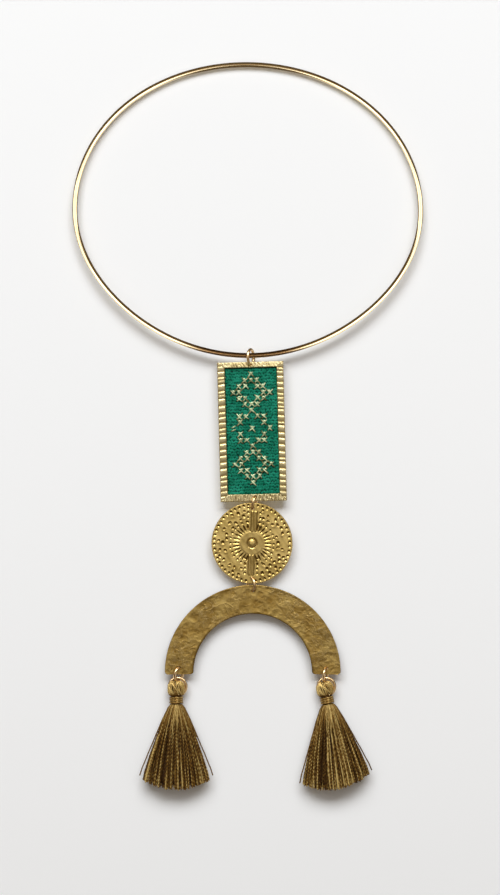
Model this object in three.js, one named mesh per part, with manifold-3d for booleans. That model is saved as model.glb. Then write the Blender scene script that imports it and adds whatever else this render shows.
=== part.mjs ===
// A bib necklace as it lies on a flat surface: a rigid oval collar of round wire and, below its front,
// one row of pendants on jump rings: an embroidered panel in a brass frame, a cast medallion, a hammered
// half ring and two thread tassels.
// Millimetres. +X is right, +Y points to the back of the neck, +Z is up from the surface at z = 0.

import * as THREE from 'three';
import { mergeVertices } from 'three/addons/utils/BufferGeometryUtils.js';
import Module from 'manifold-3d';

const wasm = await Module();
wasm.setup();

// Clearance between two pieces that touch on the real necklace
const GAP = 0.3;

// Collar: outer width and depth, turn on the surface, how much its front half is drawn in and its back half
// filled out from a true ellipse, wire, and where the wire sits in the top ring, in degrees from the end of
// the ring that is nearest to the back of the neck
const collarWidth = 140.4;
const collarDepth = 118.8;
const collarTurn = -1.2;
const collarFrontTaper = 0.019;
const collarBackFullness = 0.004;
const collarWire = 2.0;
const collarSeatAngle = 62;
const collarSteps = 96;
const collarSides = 8;

// Standing rings: outer diameter, wire, lean to the left of upright, and heading in plan
const jumpRings = {
  top: { outer: 7.0, wire: 0.9, lean: 22, heading: -90 },
  middle: { outer: 5.8, wire: 0.9, lean: 15, heading: -107 },
  lower: { outer: 6.1, wire: 0.9, lean: -34, heading: -85 },
  left: { outer: 6.2, wire: 0.9, lean: 35, heading: -106 },
  right: { outer: 6.2, wire: 0.9, lean: 18, heading: -99 },
};
const topRingShift = 1.2;
const ringSteps = 16;
const ringSides = 6;
const boreSides = 16;

// Panel: frame with four borders round a recess, and the cloth in it
const panelWidth = 26.5;
const panelHeight = 55.7;
const panelThickness = 2.4;
const panelTurn = 1.5;
const panelCorner = 0.6;
const backPlate = 0.5;
const borderLeft = 3.0;
const borderRight = 2.8;
const borderTop = 2.2;
const borderBottom = 2.9;
const sideFlutes = 23;
const sideFluteDepth = 0.4;
const endDents = 9;
const endDentDepth = 0.2;
const topHoleShift = 0.2;
const bottomHoleInset = 1.8;
const bottomHoleShift = 0.9;
const clothRecess = 0.6;
const clothCrown = 0.15;
const clothRows = 10;
const clothColumns = 4;

// Clearance of a ring's wire in the hole that it threads
const holeClearance = 0.3;

// Medallion
const discDiameter = 32.4;
const discThickness = 1.0;
const discTurn = -0.6;
const discHoleRadius = 14.0;
const discDomeRadius = 2.0;
const discDomeRise = 0.8;
const discRecessRadius = 2.5;
const discRecessDepth = 0.3;
const discBossRadius = 4.6;
const discBossRise = 0.15;
const petalLength = 3.4;
const petalWidth = 0.95;
const petalDepth = 0.35;
const petalsPerSide = 13;
const petalArc = 148;
const barRods = 3;
const barRodWidth = 0.75;
const barRodPitch = 0.8;
const barRodRise = 0.6;
const notchesAround = 48;
const notchCircleRadius = 15.2;
const notchRadius = 0.5;
const dotRadius = 0.45;
const dotCount = 30;
const dotCountPerBar = 4;
const pitSides = 6;
const rimSides = 64;

// Half ring
const archOuterRadius = 35.2;
const archInnerRadius = 23.7;
const archThickness = 1.0;
const archOverrun = 1.0;
const archCorner = 1.2;
const archHammer = 0.12;
const archStations = 40;
const archBlowsAcross = 4;
const archCrownHoleInset = 2.2;
const archEndHoleRise = 2.0;

// Tassels: ring, head, bound neck and skirt
const tasselRingOuter = 7.8;
const tasselRingWire = 0.8;
const headLength = 5.5;
const headWidth = 6.2;
const headThickness = 4.8;
const neckDiameter = 3.5;
const neckLength = 3.1;
const wrapWall = 0.45;
const wrapRibs = 5;
const wrapRibDepth = 0.15;
const wrapSides = 16;
const skirtLength = 33.6;
const skirtWidth = 27.6;
const skirtThickness = 7.4;
const skirtArc = 0.11;
const locks = 16;
const lockDepth = 0.14;
const lockTip = 0.9;
const tassels = {
  left: { heading: -90, sweep: 0 },
  right: { heading: -80, sweep: -1.9 },
};

// Head and skirt sections: share of the length, shares of the half width and half thickness,
// and the share of the lock depth that shows there
const headSections = [
  { along: 0.0, width: 0.34, thick: 0.34, lock: 0.1 },
  { along: 0.1, width: 0.68, thick: 0.7, lock: 0.35 },
  { along: 0.28, width: 0.92, thick: 0.92, lock: 0.5 },
  { along: 0.5, width: 1.0, thick: 1.0, lock: 0.5 },
  { along: 0.74, width: 0.98, thick: 0.98, lock: 0.4 },
  { along: 0.9, width: 0.84, thick: 0.86, lock: 0.3 },
];
const skirtSections = [
  { along: 0.05, open: 0.2, rise: 0.22, lock: 0.5 },
  { along: 0.2, open: 0.35, rise: 0.42, lock: 0.8 },
  { along: 0.4, open: 0.535, rise: 0.6, lock: 1.0 },
  { along: 0.65, open: 0.765, rise: 0.8, lock: 1.0 },
  { along: 0.88, open: 0.94, rise: 0.96, lock: 1.2 },
  { along: 1.0, open: 1.0, rise: 1.0, lock: 1.6 },
];
const skirtBrushInset = 0.62;
const skirtBrushDrop = 0.8;

const UP = new THREE.Vector3(0, 0, 1);
const radians = THREE.MathUtils.degToRad;

const metals = {
  collar: { color: 0xd8c493, roughness: 0.28, metalness: 1.0 },
  ring: { color: 0xcaa866, roughness: 0.3, metalness: 1.0 },
  frame: { color: 0xc9b57c, roughness: 0.38, metalness: 1.0 },
  medallion: { color: 0xa58c4b, roughness: 0.42, metalness: 1.0 },
  arch: { color: 0x826a33, roughness: 0.5, metalness: 1.0 },
};
const threads = {
  cloth: { color: 0x117056, roughness: 0.9, metalness: 0.0 },
  tassel: { color: 0x7a6230, roughness: 0.75, metalness: 0.0 },
  wrap: { color: 0x6f5628, roughness: 0.75, metalness: 0.0 },
};

// A repeatable unevenness between -1 and 1 for the copy number index of a hand-made pattern
function uneven(index, pattern) {
  return Math.sin(index * 2.399 + pattern * 1.7) * Math.cos(index * 1.117 + pattern * 0.6);
}

// A closed three.js geometry as a solid for joining and cutting
function solidOf(geometry) {
  const bare = geometry.clone();
  bare.deleteAttribute('normal');
  bare.deleteAttribute('uv');
  const merged = mergeVertices(bare, 1e-4);
  return new wasm.Manifold(new wasm.Mesh({
    numProp: 3,
    vertProperties: new Float32Array(merged.attributes.position.array),
    triVerts: new Uint32Array(merged.index.array),
  }));
}

// A solid as a three.js geometry with flat faces
function geometryOf(solid) {
  const mesh = solid.getMesh();
  const geometry = new THREE.BufferGeometry();
  geometry.setAttribute('position', new THREE.BufferAttribute(mesh.vertProperties, 3));
  geometry.setIndex(new THREE.BufferAttribute(mesh.triVerts, 1));
  const flat = geometry.toNonIndexed();
  flat.computeVertexNormals();
  return flat;
}

function joined(geometries) {
  return geometries.map(solidOf).reduce((whole, next) => whole.add(next));
}

// A skin over rings of points. A closed skin runs from the last ring back to the first, and an open one
// ends in two fans, each round the middle of its end ring.
function skin(rings, closed) {
  const size = rings[0].length;
  const points = rings.flat();
  const faces = [];
  const spans = closed ? rings.length : rings.length - 1;
  for (let i = 0; i < spans; i += 1) {
    const here = i * size;
    const next = ((i + 1) % rings.length) * size;
    for (let j = 0; j < size; j += 1) {
      const k = (j + 1) % size;
      faces.push(here + j, here + k, next + k);
      faces.push(here + j, next + k, next + j);
    }
  }
  if (!closed) {
    const last = (rings.length - 1) * size;
    const startHub = points.push(middleOf(rings[0])) - 1;
    const endHub = points.push(middleOf(rings[rings.length - 1])) - 1;
    for (let j = 0; j < size; j += 1) {
      const k = (j + 1) % size;
      faces.push(startHub, k, j);
      faces.push(endHub, last + j, last + k);
    }
  }
  const geometry = new THREE.BufferGeometry().setFromPoints(points);
  geometry.setIndex(faces);
  return geometry;
}

function middleOf(points) {
  const sum = new THREE.Vector3();
  points.forEach((point) => sum.add(point));
  return sum.divideScalar(points.length);
}

function pieceMesh(name, geometry, finish) {
  const material = new THREE.MeshStandardMaterial({ ...finish, flatShading: true });
  const mesh = new THREE.Mesh(geometry, material);
  mesh.name = name;
  return mesh;
}

// A ring that stands on the surface on its edge, with its centre above the origin. It leans to the left
// of its heading, which points from what carries it to what it carries.
function standingRing({ outer, wire, lean, heading }) {
  const radius = (outer - wire) / 2;
  const along = new THREE.Vector3(Math.cos(radians(heading)), Math.sin(radians(heading)), 0);
  const left = along.clone().cross(UP);
  const rise = UP.clone().multiplyScalar(Math.cos(radians(lean)));
  rise.addScaledVector(left, Math.sin(radians(lean)));
  const centre = new THREE.Vector3(0, 0, radius * rise.z + wire / 2);
  return { radius, wire, along, rise, centre };
}

// Where a ring's wire passes a height, at its near side (-1) or its far side (1), and which way it runs there
function wireAt(ring, height, side) {
  const up = (height - ring.centre.z) / ring.rise.z;
  const reach = side * Math.sqrt(ring.radius ** 2 - up ** 2);
  const point = ring.centre.clone().addScaledVector(ring.along, reach).addScaledVector(ring.rise, up);
  const way = ring.along.clone().multiplyScalar(-up).addScaledVector(ring.rise, reach).normalize();
  return { point, way };
}

// The ring moved in plan so that its near side passes through the point
function threadedThrough(ring, point) {
  const near = wireAt(ring, point.z, -1).point;
  ring.centre.x += point.x - near.x;
  ring.centre.y += point.y - near.y;
  return ring;
}

// The ring's far end, where it turns back under what it carries
function farEnd(ring) {
  return ring.centre.clone().addScaledVector(ring.along, ring.radius);
}

function ringTorus(ring, extra = 0) {
  const tube = ring.wire / 2 + extra;
  return new THREE.TorusGeometry(ring.radius, tube, ringSides, ringSteps);
}

function ringMatrix(ring) {
  const axis = ring.along.clone().cross(ring.rise);
  return new THREE.Matrix4().makeBasis(ring.along, ring.rise, axis).setPosition(ring.centre);
}

function ringMesh(name, ring) {
  const mesh = pieceMesh(name, ringTorus(ring), metals.ring);
  ringMatrix(ring).decompose(mesh.position, mesh.quaternion, mesh.scale);
  return mesh;
}

// What makes room for a ring's wire where it passes a plate: a bore along the wire, and the bent wire itself
// with its clearance
function passage(ring, side, thickness) {
  const { point, way } = wireAt(ring, plateHeight, side);
  const radius = ring.wire / 2 + holeClearance;
  const bore = new THREE.CylinderGeometry(radius, radius, thickness * 3, boreSides);
  const turn = new THREE.Quaternion().setFromUnitVectors(new THREE.Vector3(0, 1, 0), way);
  bore.applyQuaternion(turn).translate(point.x, point.y, point.z);
  return [bore, ringTorus(ring, holeClearance / 2).applyMatrix4(ringMatrix(ring))];
}

// The point of a plate, given in the plate's own frame, that lands in the part's frame
function placed(x, y, turn, centre) {
  return new THREE.Vector3(x, y, 0).applyAxisAngle(UP, radians(turn)).add(centre);
}

// The plate's centre that brings its own point (x, y) to the target
function centreFor(x, y, turn, target) {
  return target.clone().sub(new THREE.Vector3(x, y, 0).applyAxisAngle(UP, radians(turn)));
}

// Cuts the drills, given in the part's frame, from a solid in its plate's own frame
function drilled(solid, drills, turn, centre) {
  const toPlate = new THREE.Matrix4().makeRotationZ(radians(turn)).setPosition(centre).invert();
  return drills.reduce((rest, tool) => rest.subtract(solidOf(tool.applyMatrix4(toPlate))), solid);
}

function placeMesh(mesh, turn, centre) {
  mesh.rotation.z = radians(turn);
  mesh.position.copy(centre);
  return mesh;
}

// Layout, from the collar's front down

const top = standingRing(jumpRings.top);
top.centre.x = topRingShift;
const plateHeight = top.centre.z;

const seatReach = top.radius - top.wire / 2 - collarWire / 2 - GAP;
const collarHalfDepth = (collarDepth - collarWire) / 2;
const seatUp = seatReach * Math.sin(radians(collarSeatAngle));
const seatBack = seatReach * Math.cos(radians(collarSeatAngle));
const collarFrontHeight = plateHeight + seatUp * top.rise.z;
top.centre.y = -collarHalfDepth - seatBack;

const panelTopHole = wireAt(top, plateHeight, 1).point;
const panelCentre = centreFor(topHoleShift, panelHeight / 2 - borderTop / 2, panelTurn, panelTopHole);
const panelBottomHole = placed(bottomHoleShift, bottomHoleInset - panelHeight / 2, panelTurn, panelCentre);

const middle = threadedThrough(standingRing(jumpRings.middle), panelBottomHole);
const discTopHole = wireAt(middle, plateHeight, 1).point;
const discCentre = centreFor(0, discHoleRadius, discTurn, discTopHole);
const discBottomHole = placed(0, -discHoleRadius, discTurn, discCentre);

const lower = threadedThrough(standingRing(jumpRings.lower), discBottomHole);
const archCrownHole = wireAt(lower, plateHeight, 1).point;
const archCentre = centreFor(0, archOuterRadius - archCrownHoleInset, 0, archCrownHole);
const archMidRadius = (archOuterRadius + archInnerRadius) / 2;
const archHoleReach = Math.sqrt(archMidRadius ** 2 - archEndHoleRise ** 2);
const archLeftHole = placed(-archHoleReach, archEndHoleRise, 0, archCentre);
const archRightHole = placed(archHoleReach, archEndHoleRise, 0, archCentre);

const ends = {
  left: threadedThrough(standingRing(jumpRings.left), archLeftHole),
  right: threadedThrough(standingRing(jumpRings.right), archRightHole),
};

// The collar's centreline in its own plane, once round from its right side
function collarPoint(angle) {
  const diagonal = Math.sin(2 * angle) ** 2;
  const share = Math.sin(angle) < 0 ? 1 - collarFrontTaper * diagonal : 1 + collarBackFullness * diagonal;
  const halfWidth = (collarWidth - collarWire) / 2;
  const point = new THREE.Vector3(Math.cos(angle) * halfWidth, Math.sin(angle) * collarHalfDepth, 0);
  return point.multiplyScalar(share).applyAxisAngle(UP, radians(collarTurn));
}

// Collar: an oval of round wire, low at the back and lifted at the front by the top ring
function collarMesh() {
  const wireRadius = collarWire / 2;
  const step = (2 * Math.PI) / collarSteps;
  const rings = [];
  for (let i = 0; i < collarSteps; i += 1) {
    const centre = collarPoint(i * step);
    const run = collarPoint((i + 0.1) * step).sub(collarPoint((i - 0.1) * step)).normalize();
    const outward = run.clone().cross(UP);
    const ring = [];
    for (let j = 0; j < collarSides; j += 1) {
      const turn = (j / collarSides) * 2 * Math.PI;
      const point = centre.clone().addScaledVector(outward, Math.cos(turn) * wireRadius);
      ring.push(point.addScaledVector(UP, -Math.sin(turn) * wireRadius));
    }
    rings.push(ring);
  }
  const mesh = pieceMesh('neck_ring', skin(rings, true), metals.collar);
  const backHeight = wireRadius;
  mesh.rotation.x = -Math.asin((collarFrontHeight - backHeight) / (2 * collarHalfDepth));
  mesh.position.z = (collarFrontHeight + backHeight) / 2;
  return mesh;
}

// A bar along +X whose top is a row of ridges across it, each with its own width and height
function ridgedBar(length, width, height, count, depth, pattern) {
  const shares = [];
  for (let i = 0; i < count; i += 1) shares.push(1 + 0.25 * uneven(i, pattern));
  const total = shares.reduce((sum, share) => sum + share, 0);
  const shape = new THREE.Shape();
  shape.moveTo(0, 0);
  shape.lineTo(length, 0);
  let x = length;
  for (let i = 0; i < count; i += 1) {
    const step = (shares[i] / total) * length;
    const crest = height - depth * 0.25 * (1 + uneven(i, pattern + 1));
    if (i > 0) shape.lineTo(x, height - depth);
    shape.lineTo(x - step * 0.3, crest);
    shape.lineTo(x - step * 0.72, crest);
    x -= step;
  }
  shape.lineTo(0, height - depth);
  const bar = new THREE.ExtrudeGeometry(shape, { depth: width, bevelEnabled: false });
  return bar.rotateX(Math.PI / 2);
}

// An upright block over a rounded rectangle
function roundedPlate(width, height, thickness, corner) {
  const x = width / 2;
  const y = height / 2;
  const shape = new THREE.Shape();
  shape.moveTo(-x + corner, -y);
  shape.absarc(x - corner, -y + corner, corner, -Math.PI / 2, 0);
  shape.absarc(x - corner, y - corner, corner, 0, Math.PI / 2);
  shape.absarc(-x + corner, y - corner, corner, Math.PI / 2, Math.PI);
  shape.absarc(-x + corner, -y + corner, corner, Math.PI, Math.PI * 1.5);
  const options = { depth: thickness, bevelEnabled: false, curveSegments: 4 };
  return new THREE.ExtrudeGeometry(shape, options).translate(0, 0, -thickness / 2);
}

// Panel frame: back plate and four ridged borders, soldered into one piece
function panelFrameMesh() {
  const halfWidth = panelWidth / 2;
  const halfHeight = panelHeight / 2;
  const under = -panelThickness / 2;
  const innerWidth = panelWidth - borderLeft - borderRight;
  const plate = new THREE.BoxGeometry(panelWidth, panelHeight, backPlate);
  plate.translate(0, 0, under + backPlate / 2);
  const leftBar = ridgedBar(panelHeight, borderLeft, panelThickness, sideFlutes, sideFluteDepth, 1);
  leftBar.rotateZ(Math.PI / 2).translate(-halfWidth, -halfHeight, under);
  const rightBar = ridgedBar(panelHeight, borderRight, panelThickness, sideFlutes, sideFluteDepth, 4);
  rightBar.rotateZ(Math.PI / 2).translate(halfWidth - borderRight, -halfHeight, under);
  const endLength = innerWidth + GAP * 2;
  const endX = -halfWidth + borderLeft - GAP;
  const topBar = ridgedBar(endLength, borderTop, panelThickness, endDents, endDentDepth, 2);
  topBar.translate(endX, halfHeight, under);
  const bottomBar = ridgedBar(endLength, borderBottom, panelThickness, endDents, endDentDepth, 3);
  bottomBar.translate(endX, -halfHeight + borderBottom, under);
  const outline = solidOf(roundedPlate(panelWidth, panelHeight, panelThickness * 2, panelCorner));
  const frame = joined([plate, leftBar, rightBar, topBar, bottomBar]).intersect(outline);
  const drills = [...passage(top, 1, panelThickness), ...passage(middle, -1, panelThickness)];
  const holed = drilled(frame, drills, panelTurn, panelCentre);
  const mesh = pieceMesh('panel_frame', geometryOf(holed), metals.frame);
  return placeMesh(mesh, panelTurn, panelCentre);
}

// Cloth inlay: a thin pad with a soft crown, clear of the recess all round
function clothMesh() {
  const width = panelWidth - borderLeft - borderRight - GAP * 2;
  const height = panelHeight - borderTop - borderBottom - GAP * 2;
  const bottom = backPlate - panelThickness / 2 + GAP;
  const edge = panelThickness / 2 - clothRecess - clothCrown;
  const rings = [];
  for (let i = 0; i <= clothRows; i += 1) {
    const y = (i / clothRows - 0.5) * height;
    const ring = [new THREE.Vector3(width / 2, y, bottom), new THREE.Vector3(-width / 2, y, bottom)];
    for (let j = 0; j <= clothColumns; j += 1) {
      const x = (j / clothColumns - 0.5) * width;
      const fall = (1 - (2 * x / width) ** 4) * (1 - (2 * y / height) ** 6);
      ring.push(new THREE.Vector3(x, y, edge + clothCrown * fall));
    }
    rings.push(ring);
  }
  const mesh = pieceMesh('embroidered_cloth', skin(rings, false), threads.cloth);
  const x = (borderLeft - borderRight) / 2;
  const y = (borderBottom - borderTop) / 2;
  return placeMesh(mesh, panelTurn, placed(x, y, panelTurn, panelCentre));
}

// A pointed pit punched into the medallion's face, as a solid to cut away. Its long way points outwards
// along the direction, and its middle lies at the distance from the medallion's centre.
function pit(length, width, depth, sides, direction, distance) {
  const above = depth * 0.5;
  const spread = (depth + above) / depth / 2;
  const punch = new THREE.ConeGeometry(1, depth + above, sides).rotateX(-Math.PI / 2);
  punch.scale(length * spread, width * spread, 1);
  punch.translate(distance, 0, discThickness / 2 + (above - depth) / 2);
  return punch.rotateZ(direction);
}

function roundPit(radius, direction, distance) {
  return pit(radius * 2, radius * 2, radius * 0.8, pitSides, direction, distance);
}

// The pits of the medallion: petals round its boss, notches inside its edge, scattered dots, and a column
// of dots at each side of each bar
function discPits() {
  const pits = [];
  const petalStep = radians(petalArc) / (petalsPerSide - 1);
  const petalMiddle = discBossRadius + (petalLength + notchRadius) / 2;
  for (const side of [0, Math.PI]) {
    for (let i = 0; i < petalsPerSide; i += 1) {
      const direction = side + (i - (petalsPerSide - 1) / 2) * petalStep;
      pits.push(pit(petalLength, petalWidth, petalDepth, 4, direction, petalMiddle));
    }
  }
  for (let i = 0; i < notchesAround; i += 1) {
    pits.push(roundPit(notchRadius, ((i + 0.5) / notchesAround) * 2 * Math.PI, notchCircleRadius));
  }
  const inner = discBossRadius + petalLength + notchRadius * 3;
  const outer = notchCircleRadius - notchRadius * 3;
  for (let i = 0; i < dotCount; i += 1) {
    const share = (Math.floor(i / 2) + 0.5) / (dotCount / 2);
    const half = (share - 0.5) * radians(petalArc);
    const distance = inner + ((outer - inner) * (i % 3)) / 2;
    pits.push(roundPit(dotRadius, half + (i % 2) * Math.PI, distance));
  }
  const across = (barRods * barRodWidth) / 2 + dotRadius * 2;
  for (let i = 0; i < dotCountPerBar * 4; i += 1) {
    const rise = inner + ((outer - inner) * Math.floor(i / 4)) / (dotCountPerBar - 1);
    const direction = Math.atan2(i % 4 < 2 ? rise : -rise, i % 2 === 0 ? across : -across);
    pits.push(roundPit(dotRadius, direction, Math.hypot(rise, across)));
  }
  return pits;
}

// The grooved bars of the medallion: upright rods side by side, between its boss and each hole
function discBars() {
  const start = discBossRadius + notchRadius / 2;
  const end = discHoleRadius - jumpRings.middle.wire / 2 - holeClearance - notchRadius;
  const rods = [];
  for (const side of [-1, 1]) {
    for (let i = 0; i < barRods; i += 1) {
      const x = (i - (barRods - 1) / 2) * barRodPitch;
      const rod = new THREE.BoxGeometry(barRodWidth, end - start, barRodWidth);
      rod.rotateY(Math.PI / 4).scale(Math.SQRT1_2, 1, barRodRise / barRodWidth);
      rods.push(rod.translate(x, side * (start + end) / 2, discThickness / 2));
    }
  }
  return rods;
}

// Medallion: a plate with a raised boss, bars and a dome in a round recess, and a rayed pattern of pits
function discMesh() {
  const radius = discDiameter / 2;
  const face = discThickness / 2;
  const plate = new THREE.CylinderGeometry(radius, radius, discThickness, rimSides).rotateX(Math.PI / 2);
  const boss = new THREE.CylinderGeometry(
    discBossRadius - discBossRise, discBossRadius, discBossRise * 2, 24,
  ).rotateX(Math.PI / 2).translate(0, 0, face);
  const recess = new THREE.CylinderGeometry(
    discRecessRadius, discDomeRadius, discRecessDepth * 2, 24,
  ).rotateX(Math.PI / 2).translate(0, 0, face + discBossRise);
  const dome = new THREE.SphereGeometry(1, 12, 8).scale(discDomeRadius, discDomeRadius, discDomeRise);
  dome.translate(0, 0, face + discBossRise - discRecessDepth);
  const blank = joined([plate, boss, ...discBars()]);
  const punched = [recess, ...discPits()].reduce((rest, tool) => rest.subtract(solidOf(tool)), blank);
  const drills = [...passage(middle, 1, discThickness), ...passage(lower, -1, discThickness)];
  const holed = drilled(punched.add(solidOf(dome)), drills, discTurn, discCentre);
  const mesh = pieceMesh('disc', geometryOf(holed), metals.medallion);
  return placeMesh(mesh, discTurn, discCentre);
}

// Half ring: a flat-backed strip with rounded ends and an unevenly hammered face
function archMesh() {
  const overrun = radians(archOverrun);
  const cornerTurn = archCorner / archMidRadius;
  const angles = [0, cornerTurn * 0.15, cornerTurn * 0.5];
  const span = Math.PI + 2 * overrun - 2 * cornerTurn;
  for (let i = 0; i <= archStations; i += 1) angles.push(cornerTurn + (span * i) / archStations);
  angles.push(...angles.slice(0, 3).reverse().map((angle) => Math.PI + 2 * overrun - angle));
  const rings = angles.map((angle, i) => {
    const toEnd = Math.min(angle, Math.PI + 2 * overrun - angle) / cornerTurn;
    const inset = archCorner * (1 - Math.sqrt(1 - Math.max(0, 1 - toEnd) ** 2));
    const direction = angle - overrun;
    const inner = archInnerRadius + inset;
    const outer = archOuterRadius - inset;
    const at = (radius, z) => new THREE.Vector3(
      Math.cos(direction) * radius, Math.sin(direction) * radius, z,
    );
    const half = archThickness / 2;
    const ring = [at(outer, -half), at(inner, -half)];
    for (let j = 0; j <= archBlowsAcross; j += 1) {
      const radius = inner + ((outer - inner) * j) / archBlowsAcross;
      const blow = uneven(i * 5 + j, 5);
      ring.push(at(radius, half - archHammer * 0.5 * (1 + blow)));
    }
    return ring;
  });
  const strip = solidOf(skin(rings, false));
  const drills = [
    ...passage(lower, 1, archThickness),
    ...passage(ends.left, -1, archThickness),
    ...passage(ends.right, -1, archThickness),
  ];
  const holed = drilled(strip, drills, 0, archCentre);
  return placeMesh(pieceMesh('arch', geometryOf(holed), metals.arch), 0, archCentre);
}

// The tassel's ring lies level inside the far end of its jump ring
function tasselRing(end, heading) {
  const radius = (tasselRingOuter - tasselRingWire) / 2;
  const along = new THREE.Vector3(Math.cos(radians(heading)), Math.sin(radians(heading)), 0);
  const rise = UP.clone().cross(along);
  const inside = (end.wire + tasselRingWire) / 2 + GAP;
  const centre = farEnd(end).addScaledVector(end.along, -inside).addScaledVector(along, radius);
  return { radius, wire: tasselRingWire, along, rise, centre };
}

// One section of a tassel across its axis: locks side by side round a flattened oval that stays
// above the surface. Each lock has two crest points and a valley point.
function lockedSection(halfWidth, halfThick, height, lock, pointAt) {
  const ring = [];
  for (let i = 0; i < locks; i += 1) {
    for (let j = 0; j < 3; j += 1) {
      const turn = ((i + j / 3) / locks) * 2 * Math.PI;
      const depth = j === 2 ? lockDepth * lock * halfThick : 0;
      const across = Math.cos(turn) * (halfWidth - depth);
      const z = Math.max(height + Math.sin(turn) * (halfThick - depth), 0);
      ring.push(pointAt(across, z, i, j));
    }
  }
  return ring;
}

// Tassel: head, neck and skirt in one skin along its axis, from the head's top
function tasselMesh(name, end, { heading, sweep }) {
  const ring = tasselRing(end, heading);
  const axisHeight = neckDiameter / 2 + GAP + wrapWall;
  const headTop = farEnd(end).addScaledVector(end.along, end.wire / 2 + GAP);
  const side = UP.clone().cross(ring.along);
  const start = new THREE.Vector3(headTop.x, headTop.y, 0);
  const pointAt = (along, across, z) => start.clone()
    .addScaledVector(ring.along, along).addScaledVector(side, across).addScaledVector(UP, z);
  const rings = headSections.map(({ along, width, thick, lock }) => lockedSection(
    (headWidth / 2) * width, (headThickness / 2) * thick, axisHeight, lock,
    (across, z) => pointAt(headLength * along, across, z),
  ));
  for (const along of [headLength, headLength + neckLength]) {
    rings.push(lockedSection(
      neckDiameter / 2, neckDiameter / 2, axisHeight, 0,
      (across, z) => pointAt(along, across, z),
    ));
  }
  rings.push(...skirtRings(axisHeight, sweep, pointAt));
  const cutters = [
    ringTorus(ring, GAP).applyMatrix4(ringMatrix(ring)),
    ringTorus(end, GAP).applyMatrix4(ringMatrix(end)),
  ];
  const whole = solidOf(skin(rings, false));
  const cut = cutters.reduce((rest, tool) => rest.subtract(solidOf(tool)), whole);
  return pieceMesh(name, geometryOf(cut), threads.tassel);
}

// The skirt's sections, opening from the neck to the tips, and the brush end inside the tips
function skirtRings(axisHeight, sweep, pointAt) {
  const neck = neckDiameter / 2;
  const start = headLength + neckLength;
  const section = ({ along, open, rise, lock }, inset, drop) => {
    const halfWidth = (neck + (skirtWidth / 2 - neck) * open) * inset;
    const halfThick = (neck + (skirtThickness / 2 - neck) * rise) * inset;
    const height = axisHeight + (skirtThickness / 2 - axisHeight) * rise;
    return lockedSection(halfWidth, halfThick, height, lock, (across, z, i, j) => {
      const bow = 1 - skirtArc * (across / (skirtWidth / 2)) ** 2;
      const tip = j === 2 ? -1 : 0.5 * uneven(i, 7);
      const tipLength = lockTip * tip * along ** 6 * inset;
      return pointAt(start + skirtLength * along * bow + tipLength - drop, across + sweep * along, z);
    });
  };
  const rings = skirtSections.map((row) => section(row, 1, 0));
  const last = skirtSections[skirtSections.length - 1];
  rings.push(section(last, skirtBrushInset, skirtBrushDrop));
  return rings;
}

// Thread binding: a ribbed sleeve round the tassel's neck
function wrapMesh(name, end, { heading }) {
  const inner = neckDiameter / 2 + GAP;
  const outer = inner + wrapWall;
  const length = neckLength - GAP;
  const profile = [new THREE.Vector2(inner, 0)];
  for (let i = 0; i < wrapRibs; i += 1) {
    const valley = i === 0 ? wrapRibDepth : wrapRibDepth * 0.8;
    profile.push(new THREE.Vector2(outer - valley, (i / wrapRibs) * length));
    profile.push(new THREE.Vector2(outer, ((i + 0.5) / wrapRibs) * length));
  }
  profile.push(new THREE.Vector2(outer - wrapRibDepth, length));
  profile.push(new THREE.Vector2(inner, length));
  profile.push(profile[0].clone());
  const sleeve = new THREE.LatheGeometry(profile, wrapSides);
  const ring = tasselRing(end, heading);
  const mesh = pieceMesh(name, sleeve, threads.wrap);
  const start = farEnd(end).addScaledVector(end.along, end.wire / 2 + GAP);
  start.addScaledVector(ring.along, headLength + GAP / 2);
  mesh.position.set(start.x, start.y, inner + wrapWall);
  mesh.quaternion.setFromUnitVectors(new THREE.Vector3(0, 1, 0), ring.along);
  return mesh;
}

const necklace = new THREE.Group();
necklace.add(
  collarMesh(),
  ringMesh('jump_ring_top', top),
  panelFrameMesh(),
  clothMesh(),
  ringMesh('jump_ring_middle', middle),
  discMesh(),
  ringMesh('jump_ring_lower', lower),
  archMesh(),
);
for (const [side, end] of Object.entries(ends)) {
  necklace.add(ringMesh(`jump_ring_${side}`, end));
  necklace.add(ringMesh(`tassel_ring_${side}`, tasselRing(end, tassels[side].heading)));
  necklace.add(tasselMesh(`tassel_${side}`, end, tassels[side]));
  necklace.add(wrapMesh(`neck_wrap_${side}`, end, tassels[side]));
}

// The origin is on the surface, under the middle of the necklace's box
const box = new THREE.Box3().setFromObject(necklace, true);
const middlePoint = box.getCenter(new THREE.Vector3());
necklace.position.set(-middlePoint.x, -middlePoint.y, -box.min.z);

const part = new THREE.Group();
part.add(necklace);

export default part;
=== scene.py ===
"""Looks of a necklace that lies on a pale floor: rigid wire collar, embroidered panel in a fluted brass
frame, stamped medallion, hammered half ring and two thread tassels.

Sizes are in millimetres and are turned into metres where a mesh is made. The frame's solids give the
places: what is fine is modelled here around them.
"""

import math
from typing import NamedTuple

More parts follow.
